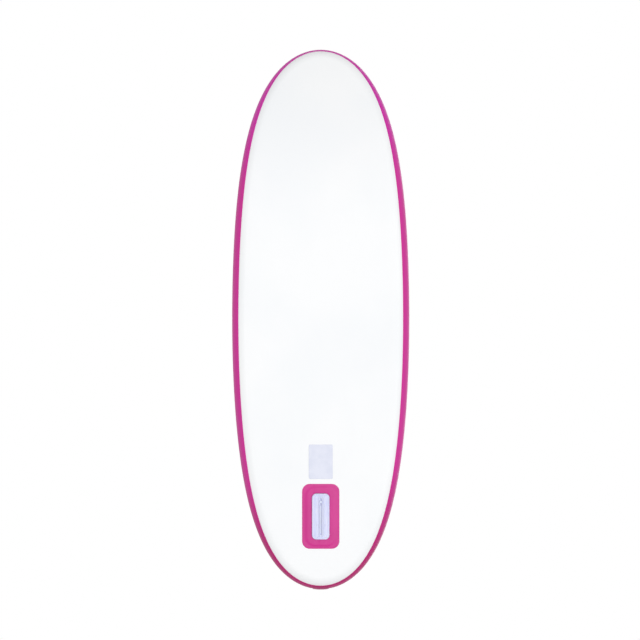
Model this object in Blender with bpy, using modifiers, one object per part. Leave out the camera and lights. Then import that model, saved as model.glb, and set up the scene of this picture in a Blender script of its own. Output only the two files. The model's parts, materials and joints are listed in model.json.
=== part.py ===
# Inflatable stand-up paddle board, deck up, nose towards -Y, resting on the flat middle of its bottom.
# The hull is built in thin wrapped layers round a drop-stitch core. Everything glued on the hull is drawn
# flat in plan and then laid on the same stations as the layers, so each sheet keeps its gap to the next.

import math

import bmesh
import bpy
from mathutils import Matrix, Vector

# Board, overall
BOARD_LENGTH = 2.44
BOARD_WIDTH = 0.80
HULL_THICKNESS = 0.117

# Outline fullness: half width = cosine * (1 + first * u^2 + second * u^4), u running from middle to tip
NOSE_FULLNESS = (0.261, 0.022)
TAIL_FULLNESS = (0.212, 0.062)

# Rocker: how far each tip rises, and how long its rise is from the tip
NOSE_RISE = 0.176
NOSE_ROCKER_LENGTH = 0.90
NOSE_ROCKER_POWER = 2.2
TAIL_RISE = 0.056
TAIL_ROCKER_LENGTH = 1.07
TAIL_ROCKER_POWER = 2.0

# Layers
GAP = 0.0003
SKIN = 0.0010
BAND = 0.0012
PATCH = 0.0010
SEAM_PATCH = 0.0016
SEAM_PATCH_WIDTH = 0.072
STATIONS = 72
BAND_EDGE = 58.0
BAND_STEPS = 6
LIP_EDGE = 74.0
LIP_GAP = 1.2

# Threads of the drop stitch, far fewer and thicker than the real ones
THREAD_PITCH = 0.130
THREAD_RADIUS = 0.0013

# Fin track, fin base and fin patch, each larger than the one before by its walls or margins
FIN_FROM_TAIL = 0.335
FIN_SLOT = (0.0100, 0.1640)
FIN_SLOT_DEPTH = 0.0085
FIN_SLOT_CORNER = 0.0030
FIN_UNDERCUT = (0.0020, -0.0020, 0.0032)
FIN_UNDERCUT_RISE = 0.0014
FIN_KEYHOLE_RADIUS = 0.0066
FIN_KEYHOLE_INSET = 0.022
FIN_KEYHOLE_FLOOR = 0.0010
FIN_TRACK_WALL = (0.0045, 0.0060)
FIN_TRACK_FLOOR = 0.0020
FIN_TRACK_CORNER = 0.0032
FIN_BASE_FLOOR = 0.0032
FIN_BASE_WALL = (0.0300, 0.0150)
FIN_BASE_CORNER = 0.0195
FIN_SHOULDER = (0.0050, 0.0045)
FIN_SHOULDER_STEPS = 3
FIN_FLANGE_MARGIN = (0.0155, 0.0220)
FIN_FLANGE = 0.0020
FIN_FLANGE_CORNER = 0.030
FIN_PATCH_MARGIN = (0.0290, 0.0205)
FIN_PATCH_CORNER = 0.034
FIN_PATCH_CLEARANCE = 0.0005
FIN_PATCH_STEP = (0.0060, 0.0015)

# Plain film
FILM_FROM_TAIL = 0.580
FILM_SIZE = (0.108, 0.154)
FILM_CORNER = 0.004
FILM = 0.0004

# Deck pads
PAD = 0.0050
PAD_INSET = 0.035
PAD_FROM_NOSE = 0.790
PAD_FROM_TAIL = 0.335
TAIL_PAD_LENGTH = 0.300
PAD_GROOVE = 0.010
PAD_FRONT_CORNER = 0.170
PAD_REAR_CORNER = 0.060
PAD_CORNER = 0.012
PAD_CORNER_STEPS = 6
WINDOW_MARGIN = (0.020, 0.029)
WINDOW_CORNER = 0.040

# Carry handle
STRAP_WIDTH = 0.038
STRAP = 0.0025
STRAP_RISE = 0.032
STRAP_TOP_HALF = 0.066
STRAP_RAMP = 0.038
STRAP_FOOT = 0.052
ANCHOR_MARGIN = (0.020, 0.018)
ANCHOR_CORNER = 0.024
GRIP_END_GAP = 0.006
GRIP_PAD = (0.0055, 0.0070)
STRAP_CLEARANCE = 0.0008
GRIP_HOLE_CORNER = 0.0005

# Tie-downs: the webbing loop, and the D-ring's wire radius, corner and reach from its bar
LOOP_WIDTH = 0.0220
LOOP = 0.0012
LOOP_PLAY = 0.0004
RING_REACH = 0.0240
RING_WIRE = 0.0020
RING_CORNER = 0.0040
RING_PATCH_RADIUS = 0.045
FRONT_TIES_FROM_NOSE = 0.360
MID_TIES_FROM_NOSE = 0.640
TIES_FROM_EDGE = 0.105
LEASH_FROM_TAIL = 0.130

# Air valve, radii and heights from the deck skin's face
VALVE_FROM_TAIL = 0.252
VALVE_PATCH_MARGIN = 0.036
BORE_RADIUS = 0.0155
BARREL_WALL = 0.0035
BARREL_CLEARANCE = 0.0006
BARREL_CUT_REACH = 0.020
FLANGE_LIP = 0.0100
FLANGE = 0.0030
FLANGE_RIM = 0.0012
MOUTH_EDGE = 0.0005
TETHER = 0.0012
TETHER_WIDTH = 0.0070
TETHER_LOW_RING = 0.0041
TETHER_PROUD = 0.0022
TETHER_REACH = 0.010
TETHER_OVERLAP = 0.0019
SEAT_LEDGE = 0.0045
SEAT_TOP = -0.0170
SEAT_BOTTOM = -0.0195
HUB_RADIUS = 0.0055
HUB_HEIGHT = 0.0035
SPIDER_ARM = 0.0024
SPIDER_OVERLAP = 0.0010
STEM_RADIUS = 0.0028
STEM_CLEARANCE = 0.0004
BUTTON_RADIUS = 0.0065
BUTTON_TOP = 0.0010
BUTTON = 0.0025
BUTTON_EDGE = 0.0008
STEM_SLOT = (0.0014, 0.0090, 0.0016)
STEM_FOOT = 0.0013
STEM_TRAVEL = 0.0050
DIAPHRAGM_LAP = 0.0025
DIAPHRAGM = 0.0020
DIAPHRAGM_EDGE = (0.0010, 0.0012)
SPRING_RADIUS = 0.0046
SPRING_WIRE = 0.0004
SPRING_TURNS = 5
SPRING_END_RISE = 2.3 * SPRING_WIRE
CAP_LIP = 0.0070
CAP_HEIGHT = 0.0100
CAP_WALL = 0.0022
CAP_EDGE = 0.0015
CAP_SKIRT = 0.0028
CAP_GRIP = (0.0080, 0.0060)
CAP_GRIP_INSET = 0.0040
CAP_GRIP_CORNER = 0.0035
CAP_GRIP_EDGE = 0.0012
PLUG_CLEARANCE = 0.0004
PLUG_WALL = 0.0016
PLUG_DEPTH = 0.0040
GROOVE = 0.0012
GROOVE_HEIGHT = 0.0018
GROOVE_FROM_CAP_FOOT = 0.0055
GASKET = 0.0015
GASKET_INSET = 0.0010
GASKET_CLEARANCE = 0.0004
NUT_WALL = 0.0097
NUT_DEPTH = 0.0090
NUT_RIM = 0.0022
NUT_STEP = (0.0040, 0.0010)

TURNED_STEPS = 24

HALF_LENGTH = BOARD_LENGTH / 2
HALF_WIDTH = BOARD_WIDTH / 2
SKIN_RADIUS = HULL_THICKNESS / 2
BAND_RADIUS = SKIN_RADIUS + GAP + BAND
CORE_RADIUS = SKIN_RADIUS - SKIN - GAP
PATCH_TOP = GAP + PATCH

for old in list(bpy.data.objects):
    bpy.data.objects.remove(old)

PARTS = bpy.data.collections.new("stand_up_paddle_board")
CUTTERS = bpy.data.collections.new("cutters")
bpy.context.scene.collection.children.link(PARTS)
bpy.context.scene.collection.children.link(CUTTERS)


# Materials

def material(name, colour, roughness, metallic):
    made = bpy.data.materials.new(name)
    made.use_nodes = True
    shader = made.node_tree.nodes["Principled BSDF"]
    shader.inputs["Base Color"].default_value = (*colour, 1.0)
    shader.inputs["Roughness"].default_value = roughness
    shader.inputs["Metallic"].default_value = metallic
    made.diffuse_color = (*colour, 1.0)
    return made


WHITE_PVC = ((0.92, 0.93, 0.94), 0.38)
MAGENTA_PVC = ((0.56, 0.05, 0.29), 0.40)
FIN_PVC = ((0.70, 0.72, 0.90), 0.25)
FOAM = ((0.60, 0.16, 0.36), 0.85)
WEBBING = ((0.05, 0.05, 0.06), 0.80)
STEEL = ((0.75, 0.75, 0.77), 0.20)
VALVE_PLASTIC = ((0.30, 0.31, 0.33), 0.40)
RUBBER = ((0.04, 0.04, 0.04), 0.60)
FABRIC = ((0.85, 0.84, 0.80), 0.80)


# Objects

def part(name, mesh, look, metallic=0.0):
    """Puts a mesh in the board's collection as one named sub-part with its own material."""
    made = bpy.data.objects.new(name, mesh)
    PARTS.objects.link(made)
    mesh.materials.clear()
    mesh.materials.append(material(name, look[0], look[1], metallic))
    return made


def draft(name, data):
    """An object that is worked on before its mesh is handed to a part or a cutter."""
    made = bpy.data.objects.new(name, data)
    CUTTERS.objects.link(made)
    return made


def cutter(name, mesh):
    made = draft(name, mesh)
    made.hide_render = True
    made.display_type = "WIRE"
    return made


def boolean(target, tool, operation="DIFFERENCE"):
    step = target.modifiers.new(tool.name, "BOOLEAN")
    step.object = tool
    step.operation = operation
    step.solver = "EXACT"


def applied(source):
    """The evaluated mesh of an object, which is then removed, with any loose caps welded on."""
    bpy.context.view_layer.update()
    graph = bpy.context.evaluated_depsgraph_get()
    mesh = bpy.data.meshes.new_from_object(source.evaluated_get(graph))
    mesh.transform(source.matrix_world)
    bpy.data.objects.remove(source)
    bm = bmesh.new()
    bm.from_mesh(mesh)
    bmesh.ops.remove_doubles(bm, verts=bm.verts, dist=1e-6)
    bm.to_mesh(mesh)
    bm.free()
    return mesh


def smooth(obj, angle=35.0):
    obj.data.shade_smooth()
    obj.data.set_sharp_from_angle(angle=math.radians(angle))


# Outline and rocker

def outline_point(t):
    """Plan outline and its outward normal; t is 0 at port, a quarter turn at the tail."""
    u = math.sin(t)
    first, second = TAIL_FULLNESS if u >= 0 else NOSE_FULLNESS
    fullness = 1 + first * u**2 + second * u**4
    growth = (2 * first * u + 4 * second * u**3) * math.cos(t)
    x = HALF_WIDTH * math.cos(t) * fullness
    y = HALF_LENGTH * u
    dx = HALF_WIDTH * (-math.sin(t) * fullness + math.cos(t) * growth)
    dy = HALF_LENGTH * math.cos(t)
    return Vector((x, y)), Vector((dy, -dx)).normalized()


def rocker(y):
    """Height of the hull's middle surface over its flat part, and its slope."""
    if y < 0:
        rise, run, power, side = NOSE_RISE, NOSE_ROCKER_LENGTH, NOSE_ROCKER_POWER, -1.0
    else:
        rise, run, power, side = TAIL_RISE, TAIL_ROCKER_LENGTH, TAIL_ROCKER_POWER, 1.0
    along = max(0.0, (abs(y) - HALF_LENGTH + run) / run)
    return rise * along**power, side * rise * power * along ** (power - 1) / run


class Station:
    """One place on the outline, with the hull's cross-section frame there."""

    def __init__(self, t):
        edge, normal = outline_point(t)
        centre = edge - normal * BAND_RADIUS
        height, slope = rocker(centre.y)
        tilt = math.atan(slope)
        along = Vector((0.0, math.cos(tilt), math.sin(tilt)))
        self.centre = Vector((centre.x, centre.y, SKIN_RADIUS + height))
        self.up = Vector((0.0, -math.sin(tilt), math.cos(tilt)))
        self.out = Vector((1.0, 0.0, 0.0)) * normal.x + along * normal.y

    def point(self, radius, degrees):
        angle = math.radians(degrees)
        return self.centre + self.out * (radius * math.cos(angle)) + self.up * (radius * math.sin(angle))


RING = [Station(2 * math.pi * k / STATIONS) for k in range(STATIONS)]
QUARTER = STATIONS // 4
ROWS = [RING[k % STATIONS] for k in range(-QUARTER, QUARTER + 1)]
BAND_ANGLES = [BAND_EDGE * (1 - 2 * k / BAND_STEPS) for k in range(BAND_STEPS + 1)]


def rail_grid(bm, stations, radius, angles, closed):
    """A strip of faces round the stations, one column of points for each; returns the columns."""
    columns = [[bm.verts.new(s.point(radius, a)) for a in angles] for s in stations]
    count = len(columns) if closed else len(columns) - 1
    for k in range(count):
        here, there = columns[k], columns[(k + 1) % len(columns)]
        for j in range(len(angles) - 1):
            bm.faces.new((here[j], here[j + 1], there[j + 1], there[j]))
    return columns


def panel_faces(bm, top):
    """Fills the flat panel between the first points of the columns, one face for each pair of rows."""
    for k in range(-QUARTER, QUARTER):
        corners = []
        for index in (k, k + 1, 2 * QUARTER - k - 1, 2 * QUARTER - k):
            vert = top[index % STATIONS][0]
            if vert not in corners:
                corners.append(vert)
        bm.faces.new(corners)


def facing_out(bm):
    """Turns an open hull surface so that its faces look away from the hull's middle."""
    bmesh.ops.recalc_face_normals(bm, faces=bm.faces)
    score = 0.0
    for face in bm.faces:
        middle = face.calc_center_median()
        row = min(ROWS, key=lambda s: abs(s.centre.y - middle.y))
        inside = Vector((0.0, middle.y, row.centre.z))
        score += face.normal.dot(middle - inside) * face.calc_area()
    if score < 0:
        bmesh.ops.reverse_faces(bm, faces=bm.faces)


def mesh_of(name, bm):
    mesh = bpy.data.meshes.new(name)
    bm.to_mesh(mesh)
    bm.free()
    return mesh


def thicken(obj, thickness):
    """Gives an open surface its wall, inwards from its outer face."""
    shell = obj.modifiers.new("thickness", "SOLIDIFY")
    shell.thickness = thickness
    shell.offset = -1.0
    shell.use_even_offset = True


def solidified(name, bm, thickness, look):
    made = part(name, mesh_of(name, bm), look)
    thicken(made, thickness)
    return made


def hull_skin(name, side, radius, angles, thickness, look):
    """A panel of the deck (side 1) or the bottom (side -1) that laps down the edge through the angles."""
    bm = bmesh.new()
    columns = rail_grid(bm, RING, radius, [side * a for a in angles], closed=True)
    panel_faces(bm, columns)
    facing_out(bm)
    return solidified(name, bm, thickness, look)


def hull_band(name, stations, closed, radius, angles, thickness, look):
    bm = bmesh.new()
    rail_grid(bm, stations, radius, angles, closed)
    facing_out(bm)
    return solidified(name, bm, thickness, look)


# Laying flat pieces on the hull

def laid_point(x, y, height, side):
    """Where a point drawn flat in plan, this high off the skin, comes to lie on the deck or the bottom."""
    last = len(ROWS) - 1
    k = 0
    while k < last - 1 and y > ROWS[k + 1].centre.y:
        k += 1
    low, high = ROWS[k], ROWS[k + 1]
    share = (y - low.centre.y) / (high.centre.y - low.centre.y)
    reach = side * (SKIN_RADIUS + height)
    ends = [Vector((x, s.centre.y, s.centre.z)) + s.up * reach for s in (low, high)]
    return ends[0].lerp(ends[1], share)


def laid(mesh, side):
    """Cuts a flat-drawn mesh along the hull's rows and lays it on; its z is the height off the skin."""
    bm = bmesh.new()
    bm.from_mesh(mesh)
    for row in ROWS:
        every = bm.verts[:] + bm.edges[:] + bm.faces[:]
        bmesh.ops.bisect_plane(bm, geom=every, dist=1e-6, plane_co=(0, row.centre.y, 0), plane_no=(0, 1, 0))
    bmesh.ops.triangulate(bm, faces=bm.faces)
    for vert in bm.verts:
        vert.co = laid_point(vert.co.x, vert.co.y, vert.co.z, side)
    if side < 0:
        bmesh.ops.reverse_faces(bm, faces=bm.faces)
    bm.to_mesh(mesh)
    bm.free()
    return mesh


def surface_frame(name, x, y, side, turn=0.0):
    """An empty on the deck or the bottom skin, its Z along the skin's outward normal."""
    origin = laid_point(x, y, 0.0, side)
    ahead = laid_point(x, y + 0.01, 0.0, side) - laid_point(x, y - 0.01, 0.0, side)
    up = Vector((1, 0, 0)).cross(ahead).normalized() * side
    across = ahead.normalized().cross(up)
    basis = Matrix((across, ahead.normalized(), up)).transposed().to_4x4()
    frame = bpy.data.objects.new(name, None)
    PARTS.objects.link(frame)
    frame.matrix_world = Matrix.Translation(origin) @ basis @ Matrix.Rotation(math.radians(turn), 4, "Z")
    return frame


def held(made, frame):
    made.parent = frame
    return made


# Flat outlines and simple solids

def rounded_rectangle(width, length, corner, centre=(0.0, 0.0), steps=5):
    points = []
    for k, (sx, sy) in enumerate(((1, 1), (-1, 1), (-1, -1), (1, -1))):
        cx = centre[0] + sx * (width / 2 - corner)
        cy = centre[1] + sy * (length / 2 - corner)
        for j in range(steps + 1):
            angle = math.pi / 2 * (k + j / steps)
            points.append((cx + corner * math.cos(angle), cy + corner * math.sin(angle)))
    return points


def circle(radius, centre=(0.0, 0.0), steps=TURNED_STEPS):
    turn = 2 * math.pi / steps
    spokes = [(math.cos(turn * k), math.sin(turn * k)) for k in range(steps)]
    return [(centre[0] + radius * x, centre[1] + radius * y) for x, y in spokes]


def sheet(name, outlines, low, high):
    """A flat sheet between two heights, from one outline and any holes in it."""
    curve = bpy.data.curves.new(name, "CURVE")
    curve.dimensions = "2D"
    curve.fill_mode = "BOTH"
    curve.extrude = (high - low) / 2
    for outline in outlines:
        spline = curve.splines.new("POLY")
        spline.points.add(len(outline) - 1)
        for point, (x, y) in zip(spline.points, outline):
            point.co = (x, y, 0.0, 1.0)
        spline.use_cyclic_u = True
    flat = draft(name, curve)
    flat.location = (0.0, 0.0, (low + high) / 2)
    return applied(flat)


def loft(levels, capped=True):
    """Loops of the same number of points, bridged in turn; each level is an outline and its height."""
    bm = bmesh.new()
    loops = [[bm.verts.new((x, y, z)) for x, y in outline] for outline, z in levels]
    count = len(loops[0])
    for below, above in zip(loops, loops[1:]):
        for k in range(count):
            n = (k + 1) % count
            bm.faces.new((below[k], below[n], above[n], above[k]))
    if capped:
        bm.faces.new(list(reversed(loops[0])))
        bm.faces.new(loops[-1])
    return mesh_of("loft", bm)


def turned(name, profile, steps=TURNED_STEPS):
    """A ring or a disc turned about Z from a closed profile of radius and height, outer side downwards."""
    bm = bmesh.new()
    verts = [bm.verts.new((r, 0.0, z)) for r, z in profile]
    on_axis = profile[0][0] == 0.0 and profile[-1][0] == 0.0
    for first, second in zip(verts, verts[1:] if on_axis else verts[1:] + verts[:1]):
        bm.edges.new((first, second))
    made = draft(name, mesh_of(name, bm))
    screw = made.modifiers.new("turn", "SCREW")
    screw.axis = "Z"
    screw.steps = steps
    screw.render_steps = steps
    screw.use_merge_vertices = True
    screw.merge_threshold = 0.00001
    return applied(made)


def block(name, size, centre):
    bm = bmesh.new()
    bmesh.ops.create_cube(bm, size=1.0, matrix=Matrix.Translation(centre) @ Matrix.Diagonal((*size, 1.0)))
    return mesh_of(name, bm)


# Air valve's frame, needed early because the skin and the core are cut for it
VALVE_Y = HALF_LENGTH - VALVE_FROM_TAIL
BARREL_RADIUS = BORE_RADIUS + BARREL_WALL
BARREL_HOLE = BARREL_RADIUS + BARREL_CLEARANCE
NUT_RADIUS = BARREL_RADIUS + GAP + NUT_WALL
valve_frame = surface_frame("valve_frame", 0.0, VALVE_Y, 1)
barrel_cut = cutter("barrel_cut", turned("barrel_cut", [
    (0.0, BARREL_CUT_REACH), (BARREL_HOLE, BARREL_CUT_REACH),
    (BARREL_HOLE, -BARREL_CUT_REACH), (0.0, -BARREL_CUT_REACH)]))
held(barrel_cut, valve_frame)


# Drop-stitch core: two woven faces joined by threads

def core_faces():
    bm = bmesh.new()
    for side in (1, -1):
        layer = bmesh.new()
        columns = rail_grid(layer, RING, CORE_RADIUS, [side * 90.0, side * LIP_EDGE], closed=True)
        panel_faces(layer, columns)
        facing_out(layer)
        bm.from_mesh(mesh_of("layer", layer))
    return solidified("drop_stitch_core", bm, SKIN, FABRIC)


def panel_half_width(y):
    """Half width of the flat panel at y, between the rows."""
    for low, high in zip(ROWS, ROWS[1:]):
        if low.centre.y <= y <= high.centre.y:
            share = (y - low.centre.y) / (high.centre.y - low.centre.y)
            return low.centre.x + (high.centre.x - low.centre.x) * share
    return 0.0


def thread_mesh():
    """All the threads as one cutter mesh, on staggered rows that leave room for the valve."""
    bm = bmesh.new()
    middle = CORE_RADIUS - SKIN / 2
    rows = int(2 * HALF_LENGTH / THREAD_PITCH)
    for j in range(-rows, rows + 1):
        y = j * THREAD_PITCH / 2 * math.sqrt(3)
        half = panel_half_width(y) - 0.4 * THREAD_PITCH
        for i in range(-rows, rows + 1):
            x = (i + 0.5 * (j % 2)) * THREAD_PITCH
            near_valve = math.hypot(x, y - VALVE_Y) < NUT_RADIUS + 0.5 * THREAD_PITCH
            if abs(x) > half or near_valve:
                continue
            top = laid_point(x, y, middle - SKIN_RADIUS, 1)
            foot = laid_point(x, y, middle - SKIN_RADIUS, -1)
            turn = (top - foot).to_track_quat("Z", "Y").to_matrix().to_4x4()
            bmesh.ops.create_cone(
                bm, cap_ends=True, segments=4, radius1=THREAD_RADIUS, radius2=THREAD_RADIUS,
                depth=(top - foot).length, matrix=Matrix.Translation((top + foot) / 2) @ turn)
    return mesh_of("threads", bm)


core = core_faces()
boolean(core, cutter("threads", thread_mesh()), "UNION")
boolean(core, barrel_cut)


# Skins, inner band and rail band

LAP_ANGLES = [90.0, LIP_EDGE, BAND_ANGLES[0], BAND_ANGLES[1]]
deck_skin = hull_skin("deck_skin", 1, SKIN_RADIUS, LAP_ANGLES, SKIN, WHITE_PVC)
boolean(deck_skin, barrel_cut)
hull_skin("bottom_skin", -1, SKIN_RADIUS, LAP_ANGLES, SKIN, WHITE_PVC)

INNER_EDGE = LIP_EDGE - LIP_GAP
hull_band("rail_inner_band", RING, True, CORE_RADIUS,
          [INNER_EDGE, BAND_ANGLES[1], 0.0, BAND_ANGLES[-2], -INNER_EDGE], SKIN, FABRIC)

TIP_SPREAD = HALF_WIDTH * (1 + sum(TAIL_FULLNESS))
joint_turn = GAP / 2 / TIP_SPREAD
band_stations = [Station(math.pi / 2 + joint_turn)]
band_stations += [RING[(QUARTER + k) % STATIONS] for k in range(1, STATIONS)]
band_stations += [Station(math.pi / 2 - joint_turn)]
hull_band("rail_band", band_stations, False, BAND_RADIUS, BAND_ANGLES, BAND, MAGENTA_PVC)


def tail_seam_patch():
    """A short strip over the ends of the rail band, cut to width across the tail."""
    bm = bmesh.new()
    spacing = TIP_SPREAD * 2 * math.pi / STATIONS
    reach = 1 + math.ceil(SEAM_PATCH_WIDTH / 2 / spacing)
    stations = [RING[QUARTER + k] for k in range(-reach, reach + 1)]
    rail_grid(bm, stations, BAND_RADIUS + GAP + SEAM_PATCH, BAND_ANGLES, closed=False)
    for side in (1, -1):
        every = bm.verts[:] + bm.edges[:] + bm.faces[:]
        bmesh.ops.bisect_plane(
            bm, geom=every, dist=1e-6, plane_co=(side * SEAM_PATCH_WIDTH / 2, 0, 0),
            plane_no=(side, 0, 0), clear_outer=True)
    facing_out(bm)
    return solidified("tail_seam_patch", bm, SEAM_PATCH, MAGENTA_PVC)


tail_seam_patch()


# Fin base, its slotted track, and the patch glued over its flange

def grown(size, margin):
    """A width and length with a margin added on every side."""
    return (size[0] + 2 * margin[0], size[1] + 2 * margin[1])


FIN_Y = HALF_LENGTH - FIN_FROM_TAIL
FIN_CENTRE = (0.0, FIN_Y)
FIN_TRACK = grown(FIN_SLOT, FIN_TRACK_WALL)
FIN_TRACK_DEPTH = FIN_SLOT_DEPTH + FIN_TRACK_FLOOR
FIN_BODY = grown(FIN_TRACK, FIN_BASE_WALL)
FIN_FLANGE_SIZE = grown(FIN_BODY, FIN_FLANGE_MARGIN)
FIN_PATCH = grown(FIN_FLANGE_SIZE, FIN_PATCH_MARGIN)
FIN_TOP = GAP + FIN_BASE_FLOOR + GAP + FIN_TRACK_DEPTH


def fin_base():
    """A thin flange and a raised body with rounded shoulders, hollowed for the track."""
    flange = rounded_rectangle(*FIN_FLANGE_SIZE, FIN_FLANGE_CORNER, FIN_CENTRE)
    levels = [(flange, GAP), (flange, GAP + FIN_FLANGE)]
    levels.append((rounded_rectangle(*FIN_BODY, FIN_BASE_CORNER, FIN_CENTRE), GAP + FIN_FLANGE))
    for k in range(FIN_SHOULDER_STEPS + 1):
        angle = math.pi / 2 * k / FIN_SHOULDER_STEPS
        shrink = FIN_SHOULDER[0] * (1 - math.cos(angle))
        drop = FIN_SHOULDER[1] * (1 - math.sin(angle))
        size = grown(FIN_BODY, (-shrink, -shrink))
        levels.append((rounded_rectangle(*size, FIN_BASE_CORNER - shrink, FIN_CENTRE), FIN_TOP - drop))
    solid = draft("fin_base_solid", loft(levels))
    outline = rounded_rectangle(*grown(FIN_TRACK, (GAP, GAP)), FIN_TRACK_CORNER + GAP, FIN_CENTRE, steps=3)
    boolean(solid, cutter("fin_pocket", loft([(outline, GAP + FIN_BASE_FLOOR), (outline, 2 * FIN_TOP)])))
    part("fin_base", laid(applied(solid), -1), FIN_PVC)


def fin_track():
    """A channel whose slot is undercut along both sides and opens into a round keyhole near the nose end."""
    outline = rounded_rectangle(*FIN_TRACK, FIN_TRACK_CORNER, FIN_CENTRE, steps=3)
    solid = draft("fin_track_solid", loft([(outline, FIN_TOP - FIN_TRACK_DEPTH), (outline, FIN_TOP)]))
    floor = FIN_TOP - FIN_SLOT_DEPTH
    slot = rounded_rectangle(*FIN_SLOT, FIN_SLOT_CORNER, FIN_CENTRE, steps=3)
    boolean(solid, cutter("fin_slot", loft([(slot, floor), (slot, 2 * FIN_TOP)])))
    under = (*grown(FIN_SLOT, FIN_UNDERCUT), FIN_UNDERCUT[2])
    middle = (0.0, FIN_Y, floor + FIN_UNDERCUT_RISE + FIN_UNDERCUT[2] / 2)
    boolean(solid, cutter("fin_undercut", block("fin_undercut", under, middle)))
    keyhole = circle(FIN_KEYHOLE_RADIUS, (0.0, FIN_Y - FIN_SLOT[1] / 2 + FIN_KEYHOLE_INSET), 16)
    bottom = floor + FIN_KEYHOLE_FLOOR
    boolean(solid, cutter("fin_keyhole", loft([(keyhole, bottom), (keyhole, 2 * FIN_TOP)])))
    part("fin_track", laid(applied(solid), -1), FIN_PVC)


def fin_patch():
    """A sheet flat on the skin, stepped up over the base's flange, with its opening round the body."""
    high = GAP + FIN_FLANGE + GAP + PATCH
    opening = grown(FIN_BODY, (FIN_PATCH_CLEARANCE, FIN_PATCH_CLEARANCE))
    levels = [(rounded_rectangle(*FIN_PATCH, FIN_PATCH_CORNER, FIN_CENTRE), PATCH_TOP)]
    for margin, height in zip(FIN_PATCH_STEP, (PATCH_TOP, high)):
        size = grown(FIN_FLANGE_SIZE, (margin, margin))
        levels.append((rounded_rectangle(*size, FIN_FLANGE_CORNER + margin, FIN_CENTRE), height))
    levels.append((rounded_rectangle(*opening, FIN_BASE_CORNER + FIN_PATCH_CLEARANCE, FIN_CENTRE), high))
    open_sheet = draft("fin_patch_sheet", loft(levels, capped=False))
    thicken(open_sheet, PATCH)
    part("fin_patch", laid(applied(open_sheet), -1), MAGENTA_PVC)


fin_base()
fin_track()
fin_patch()

film_centre = (0.0, HALF_LENGTH - FILM_FROM_TAIL)
film_outline = rounded_rectangle(*FILM_SIZE, FILM_CORNER, film_centre, steps=2)
part("plain_film", laid(sheet("plain_film", [film_outline], GAP, GAP + FILM), -1), WHITE_PVC)


# Deck pads

def pad_half_width(y):
    """Half width of the traction pad, a fixed distance in from the flat panel's edge."""
    return panel_half_width(y) - PAD_INSET


def pad_outline(front, rear, front_corner, rear_corner):
    """The pad's outline between two cross lines, its corners rounded."""
    turns = [1 - math.cos(math.pi / 2 * k / PAD_CORNER_STEPS) for k in range(PAD_CORNER_STEPS + 1)]
    first, last = front + front_corner + PAD_GROOVE, rear - rear_corner - PAD_GROOVE
    heights = [front + front_corner * turn for turn in turns]
    heights += [row.centre.y for row in ROWS if first < row.centre.y < last]
    heights += [rear - rear_corner * turn for turn in reversed(turns)]
    side = []
    for y in heights:
        cut = 0.0
        for corner, depth in ((front_corner, y - front), (rear_corner, rear - y)):
            if depth < corner:
                cut = corner - math.sqrt(max(corner**2 - (corner - depth) ** 2, 0.0))
        side.append((pad_half_width(y) - cut, y))
    return side + [(-x, y) for x, y in reversed(side)]


HANDLE_HALF = STRAP_TOP_HALF + STRAP_RAMP + STRAP_FOOT
ANCHOR_SIZE = (STRAP_WIDTH + 2 * ANCHOR_MARGIN[0], STRAP_FOOT + 2 * ANCHOR_MARGIN[1])
ANCHOR_Y = HANDLE_HALF - STRAP_FOOT / 2
WINDOW = grown((ANCHOR_SIZE[0], 2 * ANCHOR_Y + STRAP_FOOT), WINDOW_MARGIN)

pad_front = PAD_FROM_NOSE - HALF_LENGTH
pad_rear = HALF_LENGTH - PAD_FROM_TAIL
tail_pad_front = pad_rear - TAIL_PAD_LENGTH
window = rounded_rectangle(*WINDOW, WINDOW_CORNER)
main_outline = pad_outline(pad_front, tail_pad_front - PAD_GROOVE, PAD_FRONT_CORNER, PAD_CORNER)
tail_outline = pad_outline(tail_pad_front, pad_rear, PAD_CORNER, PAD_REAR_CORNER)
part("deck_pad_main", laid(sheet("deck_pad_main", [main_outline, window], GAP, GAP + PAD), 1), FOAM)
part("deck_pad_tail", laid(sheet("deck_pad_tail", [tail_outline], GAP, GAP + PAD), 1), FOAM)


# Carry handle along the middle of the deck

def ribbon_outline(points, thickness):
    """The closed side outline of a strap whose middle line follows the points."""
    upper, lower = [], []
    for k, point in enumerate(points):
        before, after = points[max(k - 1, 0)], points[min(k + 1, len(points) - 1)]
        along = (Vector(after) - Vector(before)).normalized()
        normal = Vector((-along.y, along.x)) * (thickness / 2)
        upper.append(tuple(Vector(point) + normal))
        lower.append(tuple(Vector(point) - normal))
    return upper + lower[::-1]


def strap_line():
    """Middle line of the handle's strap: foot, rising ramp, straight top, ramp and foot."""
    base = PATCH_TOP + GAP + STRAP / 2
    half = [(-HANDLE_HALF, base)]
    for k in range(9):
        share = k / 8
        rise = (1 - math.cos(math.pi * share)) / 2
        half.append((STRAP_RAMP * (share - 1) - STRAP_TOP_HALF, base + (STRAP_RISE - base) * rise))
    return half + [(-y, z) for y, z in reversed(half)]


STAND_UP = Matrix.Rotation(math.pi / 2, 4, "X")
TURN_ALONG = Matrix.Rotation(math.pi / 2, 4, "Z")

handle_frame = surface_frame("handle_frame", 0.0, 0.0, 1)
strap = sheet("handle_strap", [ribbon_outline(strap_line(), STRAP)], -STRAP_WIDTH / 2, STRAP_WIDTH / 2)
strap.transform(TURN_ALONG @ STAND_UP)
held(part("handle_strap", strap, WEBBING), handle_frame)
for end, side in (("front", -1), ("rear", 1)):
    outline = rounded_rectangle(*ANCHOR_SIZE, ANCHOR_CORNER, (0.0, side * ANCHOR_Y))
    part(f"handle_anchor_{end}", laid(sheet("anchor", [outline], GAP, PATCH_TOP), 1), MAGENTA_PVC)


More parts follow.
